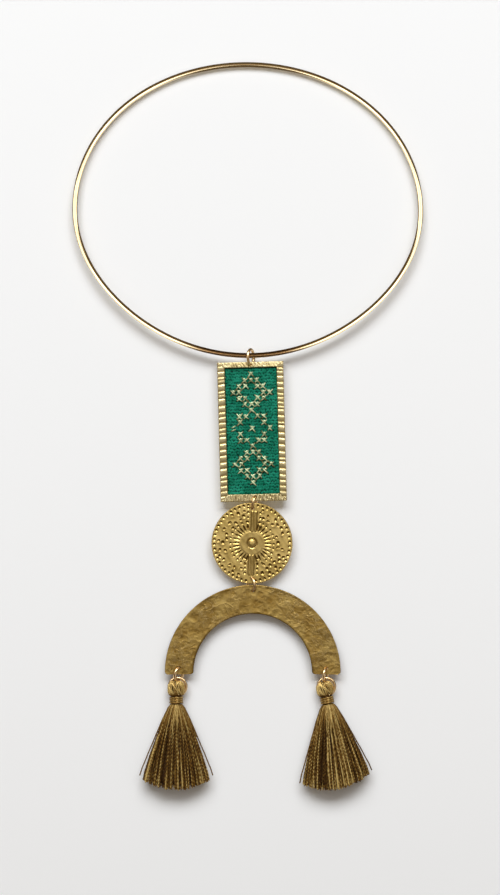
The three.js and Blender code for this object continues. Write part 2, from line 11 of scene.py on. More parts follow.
import bmesh
import bpy
import numpy as np
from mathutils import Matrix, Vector


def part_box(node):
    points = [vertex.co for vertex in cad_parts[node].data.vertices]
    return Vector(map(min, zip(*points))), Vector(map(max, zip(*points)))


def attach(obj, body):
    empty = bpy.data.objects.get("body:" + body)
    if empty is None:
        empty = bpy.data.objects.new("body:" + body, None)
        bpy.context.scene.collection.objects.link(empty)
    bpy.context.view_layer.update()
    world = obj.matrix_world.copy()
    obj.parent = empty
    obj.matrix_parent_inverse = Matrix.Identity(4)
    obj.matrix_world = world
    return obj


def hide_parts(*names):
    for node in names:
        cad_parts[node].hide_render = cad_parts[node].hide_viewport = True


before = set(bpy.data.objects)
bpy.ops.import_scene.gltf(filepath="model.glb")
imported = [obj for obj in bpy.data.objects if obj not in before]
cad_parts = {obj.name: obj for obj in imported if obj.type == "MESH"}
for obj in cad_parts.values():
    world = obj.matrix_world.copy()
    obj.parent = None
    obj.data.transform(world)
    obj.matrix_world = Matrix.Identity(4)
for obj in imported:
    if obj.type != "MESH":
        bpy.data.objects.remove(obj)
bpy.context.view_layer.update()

MM = 0.001
UP = np.array([0.0, 0.0, 1.0])

# Photograph: PIXEL is millimetres for one pixel, PHOTO_ORIGIN the pixel at the part's origin, and
# CAMERA_HEIGHT is above the plates
PHOTO_WIDTH = 500
PHOTO_HEIGHT = 895
PIXEL = 0.4
PHOTO_ORIGIN = (247.7, 425.4)
CAMERA_HEIGHT = 900.0
SENSOR = 36.0

# Collar: brown painted shade covers the front, where the sine of the way round is past its starting value
COLLAR_WIDTH = 140.4
COLLAR_DEPTH = 118.8
COLLAR_TURN = -1.2
COLLAR_FRONT_TAPER = 0.019
COLLAR_BACK_FULLNESS = 0.004
COLLAR_WIRE = 2.0
COLLAR_STEPS = 720
COLLAR_SIDES = 28
FRONT_SHADE_FROM = 0.93
FRONT_SHADE_FADE = 0.05

# Rings: where the ends of each meet is in degrees from its end that is nearest to the tassels
JUMP_WIRE = 0.9
TASSEL_RING_WIRE = 0.8
RING_CUT = 0.05
WIRE_FULLNESS = 0.2
RING_STEPS = 96
RING_SIDES = 18
RING_CUTS = {"top": 150, "middle": 40, "lower": 200, "left": 120, "right": 100}

# Panel
PANEL_WIDTH = 26.5
PANEL_HEIGHT = 55.7
PANEL_THICKNESS = 2.4
PANEL_TURN = 1.5
BACK_PLATE = 0.5
BACK_PLATE_INSET = 0.08
BORDER_LEFT = 3.0
BORDER_RIGHT = 2.8
BORDER_TOP = 2.2
BORDER_BOTTOM = 2.9
CLOTH_RECESS = 0.6
CLOTH_CROWN = 0.15
CLOTH_PLAY = 0.1
HOLE_CLEARANCE = 0.3
BORE_REACH = 3.6
BORE_SIDES = 28
BORDER_STATION = 0.16
MITRE_WIDTH = 0.22
MITRE_DEPTH = 0.16
FLUTE_COLUMNS = ("pitch", "depth", "crest", "seed", "slant", "bevel", "dents")
FLUTES = {
    "left": (2.15, 0.27, 0.3, 11, 0.35, 0.0, 0.0),
    "right": (2.15, 0.27, 0.7, 24, -0.3, 0.0, 0.0),
    "top": (1.0, 0.1, 0.4, 35, 0.5, 0.3, 0.12),
    "bottom": (1.2, 0.3, 0.4, 47, -0.4, -0.2, 0.12),
}

# Medallion: each mark that is struck into it has a length, a width and a depth
DISC_DIAMETER = 32.4
DISC_THICKNESS = 1.0
DISC_TURN = -0.6
DISC_PATTERN_TURN = -1.2
DISC_EDGE = 0.28
DISC_BOSS = 4.6
RECESS_RADIUS = 2.35
RECESS_DEPTH = 0.3
DOME_RADIUS = 1.85
DOME_RISE = 0.95
PETALS_PER_SIDE = 13
PETAL_ARC = 148
PETAL_LENGTH = 3.5
PETAL_WIDTH = 1.05
PETAL_DEPTH = 0.33
TIP_DOT = (1.1, 1.0, 0.27)
BAR_MIDDLES = {1: 0.55, -1: -0.1}
BAR_HALF_WIDTH = 1.25
BAR_END = 13.0
BESIDE_BAR = 2.45
BAR_DOT = (1.2, 1.1, 0.3)
BAR_DOTS = 5
BAR_DOT_FIRST = 6.3
BAR_DOT_PITCH = 1.95
BAR_DOT_LAST = 14.2
RIB_RISE = 0.27
NOTCH = (1.4, 1.1, 0.32)
NOTCHES = 50
NOTCH_CIRCLE = 15.1
SCATTERED_PITS = 46
PIT_DEPTH = 0.4
PIT_SPACING = 1.75
PIT_RING = (9.5, 13.9)

# Half ring
ARCH_OUTER = 35.2
ARCH_INNER = 23.7
ARCH_THICKNESS = 1.0
ARCH_OVERRUN = 1.0
ARCH_CORNER = 1.2
ARCH_EDGE = 0.2
ARCH_CREASES = 420
CREASE_RISE = 0.085

# Tassels
HEAD_LENGTH = 5.5
HEAD_WIDTH = 6.2
HEAD_THICKNESS = 4.8
NECK_DIAMETER = 3.5
NECK_LENGTH = 3.1
NECK_GAP = 0.3
WRAP_WALL = 0.45
SKIRT_LENGTH = 33.6
SKIRT_WIDTH = 27.6
SKIRT_THICKNESS = 7.4
SKIRT_ARC = 0.11
SWEEP = {"left": 0.0, "right": -1.9}
HEAD_STATIONS = [0.0, 0.1, 0.28, 0.5, 0.74, 0.9, 1.0]
HEAD_WIDTHS = [0.48, 0.8, 0.97, 1.0, 0.98, 0.86, 0.6]
SKIRT_STATIONS = [0.0, 0.05, 0.2, 0.4, 0.65, 0.88, 1.0]
SKIRT_WIDTHS = [0.02, 0.13, 0.32, 0.53, 0.765, 0.94, 1.0]
SKIRT_DEPTHS = [0.02, 0.17, 0.42, 0.6, 0.8, 0.96, 1.0]


# Mesh building


def grid_faces(rows, columns, close_rows=False, close_columns=False):
    """Quads over a grid of points that is stored row after row."""
    row_spans = rows if close_rows else rows - 1
    column_spans = columns if close_columns else columns - 1
    i, j = np.meshgrid(np.arange(row_spans), np.arange(column_spans), indexing="ij")
    i, j = i.ravel(), j.ravel()
    k, m = (i + 1) % rows, (j + 1) % columns
    return np.stack([i * columns + j, i * columns + m, k * columns + m, k * columns + j], axis=1)


class Shape:
    """Points and faces that are gathered from several grids into one mesh."""

    def __init__(self):
        self.points = []
        self.faces = []
        self.values = []
        self.count = 0

    def add(self, points, faces, value=0.0):
        points = np.asarray(points, float).reshape(-1, 3)
        self.points.append(points)
        self.faces.extend((np.asarray(faces) + self.count).tolist())
        self.values.append(np.broadcast_to(value, len(points)).astype(np.float32))
        self.count += len(points)

    def add_polygon(self, indices):
        self.faces.append([int(i) for i in indices])

    def add_body(self, points, value, closed=False):
        """Rows of points, each of which goes round the body. Its first and last row are capped, or joined
        where it is closed."""
        rows, columns = np.shape(points)[:2]
        start = self.count
        self.add(points, grid_faces(rows, columns, close_rows=closed, close_columns=True), np.ravel(value))
        if not closed:
            end = np.arange(columns) + start
            self.add_polygon(end[::-1])
            self.add_polygon(end + (rows - 1) * columns)

    def mesh(self, name):
        mesh = bpy.data.meshes.new(name)
        mesh.from_pydata((np.concatenate(self.points) * MM).tolist(), [], self.faces)
        mesh.polygons.foreach_set("use_smooth", [True] * len(mesh.polygons))
        layer = mesh.attributes.new("tone", "FLOAT", "POINT")
        layer.data.foreach_set("value", np.concatenate(self.values))
        facing = bmesh.new()
        facing.from_mesh(mesh)
        bmesh.ops.recalc_face_normals(facing, faces=facing.faces)
        facing.to_mesh(mesh)
        facing.free()
        mesh.update()
        return mesh


def linked(name, data):
    """A new object of the data in the scene."""
    made = bpy.data.objects.new(name, data)
    bpy.context.scene.collection.objects.link(made)
    return made


def piece(name, form, material, slot, *nodes):
    """A piece of the necklace on its one body, of a shape or a mesh, in place of the nodes."""
    mesh = form.mesh(name) if isinstance(form, Shape) else form
    made = linked(name, mesh)
    mesh.materials.clear()
    mesh.materials.append(material)
    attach(made, "root")
    if nodes:
        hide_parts(*nodes)
    return made


def tube(shape, path, radius, sides, closed=False, side=None, lobes=None, value=0.0, depth=0.44):
    """A tube along the path. side is a direction across it that stays clear of its run. lobes gives the
    turn of a two-lobed section at each step, as in a thread of two plies, and depth how far its waist
    goes in."""
    path = np.asarray(path, float)
    steps = len(path)
    value = np.broadcast_to(value, steps)[:, None] * np.ones(sides)
    if closed:
        run = np.roll(path, -1, axis=0) - np.roll(path, 1, axis=0)
    else:
        run = np.gradient(path, axis=0)
    run /= np.linalg.norm(run, axis=1)[:, None]
    across = np.cross(run, UP if side is None else side)
    across /= np.linalg.norm(across, axis=1)[:, None]
    other = np.cross(run, across)
    turn = np.arange(sides) / sides * 2 * np.pi
    radius = np.broadcast_to(radius, steps)[:, None] * np.ones(sides)
    if lobes is not None:
        waist = np.sin(turn[None, :] - np.asarray(lobes)[:, None]) ** 2
        radius = radius * (1 - depth * waist)
        # Painted light and shade: the tone rises on each ply's crown and falls at the waist between the
        # plies
        value = np.clip(value + depth * (0.4 - waist), 0, 1)
    ring = (
        path[:, None, :]
        + across[:, None, :] * (np.cos(turn) * radius)[:, :, None]
        + other[:, None, :] * (np.sin(turn) * radius)[:, :, None]
    )
    shape.add_body(ring, value, closed)


def smooth(x):
    x = np.clip(x, 0.0, 1.0)
    return x * x * (3 - 2 * x)


def turned(points, degrees):
    angle = math.radians(degrees)
    c, s = math.cos(angle), math.sin(angle)
    points = np.asarray(points, float)
    x, y = points[..., 0], points[..., 1]
    return np.stack([x * c - y * s, x * s + y * c, points[..., 2]], axis=-1)


def unit(vector):
    return vector / np.linalg.norm(vector)


def node_box(node):
    low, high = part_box(node)
    return np.array(low) / MM, np.array(high) / MM


def node_middle(node):
    low, high = node_box(node)
    return (low + high) / 2


def round_frame(node):
    """Centre of a ring-shaped node, its axis and its outer radius."""
    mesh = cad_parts[node].data
    points = np.empty(len(mesh.vertices) * 3)
    mesh.vertices.foreach_get("co", points)
    points = np.unique((points.reshape(-1, 3) / MM).round(4), axis=0)
    centre = points.mean(axis=0)
    axis = np.linalg.eigh(np.cov((points - centre).T))[1][:, 0]
    reach = np.linalg.norm(np.cross(points - centre, axis), axis=1).max()
    return centre, axis, reach


def ring_sides(axis):
    """Two directions square to a ring's axis and to each other. The first points to the tassels."""
    down = np.array([0.0, -1.0, 0.0])
    down = unit(down - axis * (down @ axis))
    return down, np.cross(axis, down)


# Material building


class Nodes:
    """Short calls for the nodes of one material or of the world. Its place is a texture coordinate."""

    def __init__(self, owner, place):
        self.owner = owner
        owner.use_nodes = True
        self.tree = owner.node_tree
        self.place = self.node("ShaderNodeTexCoord").outputs[place]

    def feed(self, target, value):
        if isinstance(value, (int, float, tuple)):
            target.default_value = value
        else:
            self.tree.links.new(value, target)

    def node(self, kind, inputs=None, **settings):
        made = self.tree.nodes.new(kind)
        for key, value in settings.items():
            setattr(made, key, value)
        for key, value in (inputs or {}).items():
            self.feed(made.inputs[key], value)
        return made

    def noise(self, scale, detail=2.0, rough=0.5, vector=None, distortion=0.0):
        inputs = {"Vector": vector or self.place, "Scale": scale, "Detail": detail, "Roughness": rough}
        inputs["Distortion"] = distortion
        return self.node("ShaderNodeTexNoise", inputs).outputs["Fac"]

    def stretched(self, scale, turn=0.0):
        inputs = {"Vector": self.place, "Scale": scale, "Rotation": (0.0, 0.0, math.radians(turn))}
        return self.node("ShaderNodeMapping", inputs).outputs["Vector"]

    def tone(self):
        return self.node("ShaderNodeAttribute", attribute_name="tone").outputs["Fac"]

    def math(self, operation, a, b=0.0, clamp=False):
        return self.node("ShaderNodeMath", {0: a, 1: b}, operation=operation, use_clamp=clamp).outputs[0]

    def times(self, a, b, clamp=False):
        return self.math("MULTIPLY", a, b, clamp)

    def plus(self, a, b):
        return self.math("ADD", a, b)

    def range(self, value, low, high):
        inputs = {"Value": value, "From Min": low, "From Max": high}
        return self.node("ShaderNodeMapRange", inputs, interpolation_type="SMOOTHSTEP").outputs["Result"]

    def mix(self, factor, a, b):
        return self.node("ShaderNodeMix", {"Factor": factor, 6: a, 7: b}, data_type="RGBA").outputs[2]

    def bump(self, height, distance, strength):
        inputs = {"Height": height, "Distance": distance * MM, "Strength": strength}
        return self.node("ShaderNodeBump", inputs).outputs["Normal"]

    def set(self, **values):
        for key, value in values.items():
            self.feed(self.tree.nodes["Principled BSDF"].inputs[key.replace("_", " ")], value)

    def metal(self, base, grain, grain_share, roughness, bump, strength):
        """Makes the surface a metal whose roughness and fine relief follow the grain."""
        self.set(Base_Color=base, Metallic=1.0, Normal=self.bump(grain, bump, strength))
        self.set(Roughness=self.plus(self.times(grain, grain_share), roughness))
        return self.owner


def surface(name):
    return Nodes(bpy.data.materials.new(name), "Object")


def rgb(red, green, blue):
    return (red, green, blue, 1.0)


FRONT_SHADE_BROWN = rgb(0.27, 0.155, 0.065)


def wire_metal(name, base, dark, roughness):
    """Polished drawn wire with faint scratches, a little darker in patches, and brown painted shade where
    marked.
    """
    m = surface(name)
    patches = m.range(m.noise(90.0, 3.0), 0.35, 0.7)
    fine = m.noise(2400.0)
    # The tone marks where the wire is a little rougher and where brown painted shade is mixed in
    front_shade = m.tone()
    base = m.mix(m.times(patches, 0.45), base, dark)
    dull = m.plus(m.times(front_shade, 0.12), roughness)
    return m.metal(m.mix(front_shade, base, FRONT_SHADE_BROWN), fine, 0.06, dull, 0.004, 0.25)


def frame_metal():
    """Pale brass, bright on the crests of the flutes, with brown painted shade in their valleys and dents.
    """
    m = surface("frame_brass")
    hollow = m.tone()
    grain = m.noise(1500.0, 3.0, 0.6)
    patches = m.range(m.noise(260.0, 3.0), 0.35, 0.68)
    crest = m.mix(patches, rgb(0.94, 0.80, 0.45), rgb(0.80, 0.65, 0.32))
    # Painted shade: the brown that the valleys and dents take where the tone is high
    valley_shade = rgb(0.46, 0.34, 0.14)
    return m.metal(m.mix(m.range(hollow, 0.35, 1.0), crest, valley_shade), grain, 0.16, 0.36, 0.03, 0.6)


def disc_metal():
    """Stamped brass: olive gold with a satin, finely pitted face, darker on its boss and in painted shade.
    """
    m = surface("disc_brass")
    hollow = m.tone()
    grain = m.noise(1300.0, 4.0, 0.65)
    patches = m.range(m.noise(170.0, 3.0), 0.36, 0.66)
    face = m.mix(patches, rgb(0.84, 0.61, 0.215), rgb(0.66, 0.46, 0.14))
    # deep is painted shade in the grooves and pits, and the boss's darker tone
    deep = rgb(0.22, 0.13, 0.03)
    return m.metal(m.mix(m.range(hollow, 0.2, 0.95), face, deep), grain, 0.18, 0.3, 0.035, 0.6)


def arch_metal():
    """Dark antique brass: mottled patina, crinkled and rubbed crests, fine curved scratches."""
    m = surface("arch_brass")
    crest = m.tone()
    clouds = m.range(m.noise(120.0, 5.0, 0.62), 0.34, 0.68)
    speck = m.noise(900.0, 3.0, 0.7)
    stain = m.range(m.noise(52.0, 4.0, 0.6, distortion=1.2), 0.42, 0.7)
    crinkle = m.noise(330.0, 4.0, 0.55, m.stretched((0.75, 1.0, 1.0), 35.0), distortion=1.4)
    folds = m.range(m.math("ABSOLUTE", m.math("SUBTRACT", crinkle, 0.5)), 0.035, 0.0)
    where = m.range(m.noise(70.0, 2.0), 0.42, 0.6)
    folds = m.times(folds, where)
    base = m.mix(clouds, rgb(0.40, 0.235, 0.05), rgb(0.78, 0.545, 0.17))
    base = m.mix(m.times(stain, 0.55), base, rgb(0.215, 0.13, 0.03))
    base = m.mix(m.times(crest, 0.5, True), base, rgb(0.66, 0.48, 0.18))
    # Painted shade along the inner edge and underneath, where the tone is below 0
    base = m.mix(m.times(crest, -0.8, True), base, rgb(0.10, 0.055, 0.012))
    base = m.mix(m.times(folds, 0.4), base, rgb(0.80, 0.62, 0.30))
    m.set(Base_Color=base, Metallic=1.0)
    m.set(Roughness=m.plus(m.times(speck, 0.22), 0.3))
    height = m.plus(m.times(speck, 0.35), m.times(folds, 0.5))
    height = m.plus(height, m.times(crinkle, 0.8))
    m.set(Normal=m.bump(height, 0.07, 0.7))
    return m.owner


def cloth_material():
    """Emerald evenweave cloth: soft thread gloss, with painted shade between the threads."""
    m = surface("green_cloth")
    height = m.tone()
    fibre = m.noise(2600.0, 3.0, 0.6, m.stretched((1.0, 0.4, 1.0)))
    patches = m.noise(330.0, 3.0)
    thread = m.mix(m.range(patches, 0.35, 0.68), rgb(0.001, 0.135, 0.074), rgb(0.010, 0.235, 0.143))
    # Painted shade where the tone is low
    thread = m.mix(m.range(height, 0.4, 0.0), thread, rgb(0.001, 0.038, 0.024))
    thread = m.mix(m.times(m.range(fibre, 0.55, 0.8), 0.35), thread, rgb(0.05, 0.36, 0.25))
    m.set(Base_Color=thread, Roughness=0.6, Specular_IOR_Level=0.12)
    m.set(Normal=m.bump(fibre, 0.05, 0.7))
    return m.owner


def gold_thread():
    """Pale metallic embroidery thread; its tone holds painted shade where it goes into the cloth."""
    m = surface("gold_thread")
    tone = m.tone()
    fibre = m.noise(2200.0, 2.0)
    base = m.mix(m.range(tone, 0.1, 0.95), rgb(0.14, 0.13, 0.03), rgb(0.91, 1.0, 0.63))
    m.set(Base_Color=base, Metallic=0.45, Roughness=0.4)
    m.set(Normal=m.bump(fibre, 0.03, 0.6))
    return m.owner


def tassel_thread(name):
    """Olive bronze viscose with a silky gloss: each strand has its own tone, with painted light and shade.
    """
    m = surface(name)
    tone = m.tone()
    fibre = m.noise(1700.0, 2.0, 0.6)
    low = m.mix(m.range(tone, 0.0, 0.5), rgb(0.045, 0.016, 0.003), rgb(0.25, 0.125, 0.021))
    base = m.mix(m.range(tone, 0.5, 1.0), low, rgb(0.82, 0.60, 0.215))
    base = m.mix(m.times(m.range(fibre, 0.5, 0.75), 0.3), base, rgb(0.45, 0.31, 0.09))
    m.set(Base_Color=base, Metallic=0.5, Roughness=0.34, Specular_IOR_Level=0.3)
    m.set(Normal=m.bump(fibre, 0.03, 0.6))
    return m.owner


def floor_material():
    m = surface("floor")
    m.set(Base_Color=rgb(0.93, 0.93, 0.925), Roughness=0.9, Specular_IOR_Level=0.1)
    return m.owner


# Collar and rings


def collar_point(angle):
    """The collar's centreline in its own plane, as the frame's solid has it."""
    diagonal = np.sin(2 * angle) ** 2
    front = 1 - COLLAR_FRONT_TAPER * diagonal
    back = 1 + COLLAR_BACK_FULLNESS * diagonal
    share = np.where(np.sin(angle) < 0, front, back)
    x = np.cos(angle) * (COLLAR_WIDTH - COLLAR_WIRE) / 2 * share
    y = np.sin(angle) * (COLLAR_DEPTH - COLLAR_WIRE) / 2 * share
    return turned(np.stack([x, y, np.zeros_like(x)], axis=-1), COLLAR_TURN)


def collar(material):
    """The collar's wire, which leans so that its front lies on the panel's ring, above the floor."""
    low, high = node_box("neck_ring")
    turn = np.arange(COLLAR_STEPS) / COLLAR_STEPS * 2 * np.pi
    path = collar_point(turn)
    radius = COLLAR_WIRE / 2
    back, front = low[2] + radius, high[2] - radius
    half_depth = (COLLAR_DEPTH - COLLAR_WIRE) / 2
    lean = math.asin((front - back) / (2 * half_depth))
    y = path[:, 1].copy()
    path[:, 1] = y * math.cos(lean)
    path[:, 2] = -y * math.sin(lean)
    path += (low + high) / 2
    # Painted shade: the collar's front is turned brown
    front_shade = smooth((-np.sin(turn) - FRONT_SHADE_FROM) / FRONT_SHADE_FADE)
    shape = Shape()
    tube(shape, path, radius, COLLAR_SIDES, closed=True, value=front_shade)
    return piece("collar_wire", shape, material, "collar_brass", "neck_ring")


def wire_ring(name, node, wire, material, cut_at=None):
    """A smooth ring in the node's place, a little fuller than its wire. It lies on the floor where it
    reaches it. cut_at is where its two ends meet."""
    centre, axis, reach = round_frame(node)
    radius = reach - wire / 2
    wire = wire + WIRE_FULLNESS
    down, across = ring_sides(axis)
    if cut_at is None:
        turn = np.arange(RING_STEPS) / RING_STEPS * 2 * np.pi
    else:
        half_cut = RING_CUT / radius / 2
        turn = math.radians(cut_at) + np.linspace(half_cut, 2 * np.pi - half_cut, RING_STEPS)
    path = centre + radius * (np.cos(turn)[:, None] * down + np.sin(turn)[:, None] * across)
    path[:, 2] = np.maximum(path[:, 2], wire / 2)
    shape = Shape()
    tube(shape, path, wire / 2, RING_SIDES, closed=cut_at is None, side=axis)
    return piece(name, shape, material, "ring_brass", node)


# Panel


def panel_place(points):
    """Points of the panel's own frame, its middle at the origin, in the necklace's frame."""
    centre = node_middle("panel_frame")
    centre[2] = node_box("panel_frame")[0][2] + PANEL_THICKNESS / 2
    return turned(points, PANEL_TURN) + centre


def flute_phase(length, pitch, seed):
    """A function that counts irregular flutes along a border."""
    draws = np.random.default_rng(seed)
    count = int(round(length / pitch))
    widths = 1 + 0.5 * draws.uniform(-1, 1, count)
    edges = np.concatenate([[0.0], np.cumsum(widths)]) / widths.sum() * length
    return lambda s: np.interp(s, edges, np.arange(count + 1)), count


def border(shape, outer, inner, pitch, depth, crest, seed, slant, bevel, dents):
    """One mitred border: a strip between its outer and inner edge, each given by its two corners. The
    crest is where each flute is highest, as a share of its width, and slant how far a flute leans along
    the border. bevel is how far the outer edge is lower than the inner one, and dents how deep the small
    uneven hollows between the flutes are."""
    outer, inner = np.asarray(outer, float), np.asarray(inner, float)
    length = np.linalg.norm(outer[1] - outer[0])
    way = (outer[1] - outer[0]) / length
    draws = np.random.default_rng(seed)
    phase, count = flute_phase(length, pitch, seed)
    strength = draws.uniform(0.3, 1.0, count + 2)
    half = PANEL_THICKNESS / 2
    bottom = -half
    rim = [(0.0, bottom + 0.05), (0.0, half - 0.45), (0.012, half - 0.22), (0.045, half - 0.07)]
    top = [(v, half) for v in np.linspace(0.1, 0.9, 12)]
    inside = [(0.955, half - 0.08), (0.99, half - 0.24), (1.0, half - 0.5), (1.0, bottom + BACK_PLATE)]
    profile = np.array(rim + top + inside + [(0.5, bottom + 0.02)])
    stations = int(length / BORDER_STATION)
    u = np.linspace(0, 1, stations)
    v, z = profile[:, 0], profile[:, 1]
    start = outer[0] + (inner[0] - outer[0]) * v[:, None]
    end = outer[1] + (inner[1] - outer[1]) * v[:, None]
    points = start[None, :, :] + (end - start)[None, :, :] * u[:, None, None]
    s = (points - outer[0]) @ way
    wobble = 0.12 * np.sin(s * 1.3 + seed) * (v[None, :] - 0.5)
    count_at = phase(s + slant * (v[None, :] - 0.5) + wobble)
    within = count_at % 1.0
    ridge = np.where(within < crest, smooth(within / crest), smooth((1 - within) / (1 - crest)))
    power = strength[np.clip(count_at.astype(int), 0, count)]
    on_top = smooth((z - (half - 0.5)) / 0.4)[None, :]
    fall = depth * power * (1 - ridge) * on_top
    # The tone: painted shade in the flutes' valleys and dents, and a dark joint along each mitre
    hollow = (1 - ridge) * on_top
    to_start, to_end = [np.linalg.norm(points - mitre[None], axis=2) for mitre in (start, end)]
    blots = sum(np.sin(s * a + v[None, :] * b + c) for a, b, c in draws.uniform(3.0, 9.0, (7, 3))) / 7
    blots = smooth((blots - 0.05) / 0.35) * on_top
    fall += dents * blots + bevel * (1 - v[None, :]) * on_top
    hollow = np.maximum(hollow * (1 - 0.4 * (dents > 0)), 0.9 * blots * (dents > 0))
    mitre = smooth(1 - np.minimum(to_start, to_end) / MITRE_WIDTH) * on_top
    fall += MITRE_DEPTH * mitre
    hollow = np.maximum(hollow, mitre)
    flat = np.concatenate([points, (z[None, :] - fall)[:, :, None]], axis=2)
    shape.add_body(panel_place(flat), hollow)


def bore(mesh, place, side):
    """The mesh with a hole along the wire of the ring of that place, where the wire passes the plates. side
    is 1 where that is towards the tassels from the ring's middle and -1 where it is towards the collar."""
    centre, axis, reach = round_frame(f"jump_ring_{place}")
    radius = reach - JUMP_WIRE / 2
    plate = node_box("arch")[0][2] + ARCH_THICKNESS / 2
    down, rise = ring_sides(axis)
    rise = rise * math.copysign(1.0, rise[2])
    up = (plate - centre[2]) / rise[2]
    out = side * math.sqrt(radius**2 - up**2)
    point = centre + down * out + rise * up
    way = unit(-down * up + rise * out)
    shape = Shape()
    path = point + np.linspace(-BORE_REACH, BORE_REACH, 5)[:, None] * way
    tube(shape, path, JUMP_WIRE / 2 + HOLE_CLEARANCE, BORE_SIDES, side=np.array([1.0, 0.0, 0.0]))
    solid = linked("solid", mesh)
    cutter = linked("cutter", shape.mesh("cutter"))
    cut = solid.modifiers.new("hole", "BOOLEAN")
    cut.operation, cut.solver, cut.object = "DIFFERENCE", "EXACT", cutter
    bpy.context.view_layer.update()
    held = solid.evaluated_get(bpy.context.evaluated_depsgraph_get())
    made = bpy.data.meshes.new_from_object(held)
    for item in (solid, cutter):
        bpy.data.objects.remove(item)
    return made


def bored(mesh, **sides):
    """The mesh with the hole of each ring that is named, at its side."""
    for place, side in sides.items():
        mesh = bore(mesh, place, side)
    return mesh


def joined(meshes, name):
    """One mesh of several."""
    together = bmesh.new()
    for mesh in meshes:
        together.from_mesh(mesh)
    made = bpy.data.meshes.new(name)
    together.to_mesh(made)
    together.free()
    return made


def panel_frame(material):
    """Four mitred borders round a back plate, with a hole for a ring at the top and one at the bottom."""
    x0, x1 = -PANEL_WIDTH / 2, PANEL_WIDTH / 2
    y0, y1 = -PANEL_HEIGHT / 2, PANEL_HEIGHT / 2
    a0, a1 = x0 + BORDER_LEFT, x1 - BORDER_RIGHT
    b0, b1 = y0 + BORDER_BOTTOM, y1 - BORDER_TOP
    outer = [(x0, y1), (x0, y0), (x1, y0), (x1, y1)]
    inner = [(a0, b1), (a0, b0), (a1, b0), (a1, b1)]
    meshes = {}
    for name, first in (("left", 0), ("right", 2), ("top", 3), ("bottom", 1)):
        shape = Shape()
        last = (first + 1) % 4
        flutes = dict(zip(FLUTE_COLUMNS, FLUTES[name]))
        border(shape, (outer[first], outer[last]), (inner[first], inner[last]), **flutes)
        meshes[name] = shape.mesh(name)
    low, inset = -PANEL_THICKNESS / 2, BACK_PLATE_INSET
    x0, x1, y0, y1 = x0 + inset, x1 - inset, y0 + inset, y1 - inset
    around = [(x0, y0), (x1, y0), (x1, y1), (x0, y1)]
    corners = np.array([(x, y, z) for z in (low, low + BACK_PLATE) for x, y in around])
    sides = [(0, 1, 5, 4), (1, 2, 6, 5), (2, 3, 7, 6), (3, 0, 4, 7), (3, 2, 1, 0), (4, 5, 6, 7)]
    plate = Shape()
    plate.add(panel_place(corners), np.array(sides), 0.3)
    upper, lower = bored(meshes["top"], top=1), bored(meshes["bottom"], middle=-1)
    back = bored(plate.mesh("plate"), top=1, middle=-1)
    whole = joined([meshes["left"], meshes["right"], upper, lower, back], "fluted_frame")
    return piece("fluted_frame", whole, material, "frame_brass", "panel_frame")


# Cross stitches: a chart by rows, from the top, of the columns that hold a stitch. The middle of the topmost
# stitch is at the pixel STITCH_FIRST, in the chart's column STITCH_MIDDLE
STITCH_PITCH = 2.4
STITCH_FIRST = (250.7, 374.4)
STITCH_MIDDLE = 3
STITCH_CHART = [
    "...X...",
    "..XXX..",
    ".XX.XX.",
    "XX...XX",
    ".XX.XX.",
    "..XXX..",
    "...X...",
    ".XX.XX.",
    ".X...X.",
    "/..X..>",
    ".X...X.",
    ".XX.XX.",
    "...X...",
    "..XXX..",
    ".XX.XX.",
    "XX...XX",
    ".XX.XX.",
    "..XXX..",
    "...X...",
]


def stitch_places():
    """Place in the panel's own frame and mark of every stitch of the chart."""
    centre = node_middle("panel_frame")
    first_x = (STITCH_FIRST[0] - PHOTO_ORIGIN[0]) * PIXEL - centre[0]
    first_y = (PHOTO_ORIGIN[1] - STITCH_FIRST[1]) * PIXEL - centre[1]
    first = turned(np.array([first_x, first_y, 0.0]), -PANEL_TURN)
    return [
        (first[0] + (column - STITCH_MIDDLE) * STITCH_PITCH, first[1] - row * STITCH_PITCH, mark)
        for row, marks in enumerate(STITCH_CHART)
        for column, mark in enumerate(marks)
        if mark != "."
    ]


# Cloth: its threads, the needle's holes and the level of its sunk edges
CLOTH_COLUMNS = 150
CLOTH_ROWS = 350
WEAVE_ROW = 1.2
WEAVE_THREAD = 0.98
WEAVE_DEPTH = 0.42
CLOTH_WAVES = 0.08
NEEDLE_HOLE = 0.42
CLOTH_PULL = 0.4
CLOTH_FACE = PANEL_THICKNESS / 2 - CLOTH_RECESS - CLOTH_CROWN


def weave_height(x, y, draws):
    """Uneven thread blobs in staggered rows: 1 on their tops and 0 between them."""
    row = np.floor(y / WEAVE_ROW).astype(int)
    row -= row.min()
    shift = draws.uniform(0, 1, row.max() + 1)
    u = x / WEAVE_THREAD + shift[row]
    column = np.floor(u).astype(int)
    column -= column.min()
    size = (row.max() + 1, column.max() + 1)
    tall = draws.uniform(0.5, 1.0, size)[row, column]
    dx = (u % 1.0) - 0.5 - draws.uniform(-0.12, 0.12, size)[row, column]
    dy = (y / WEAVE_ROW) % 1.0 - 0.5 - draws.uniform(-0.2, 0.2, size)[row, column]
    lean = draws.uniform(-0.9, 0.9, size)[row, column]
    reach = ((dx + lean * dy) / 0.58) ** 2 + (dy / 0.66) ** 2
    return tall * np.clip(1 - reach, 0, 1) ** 0.5


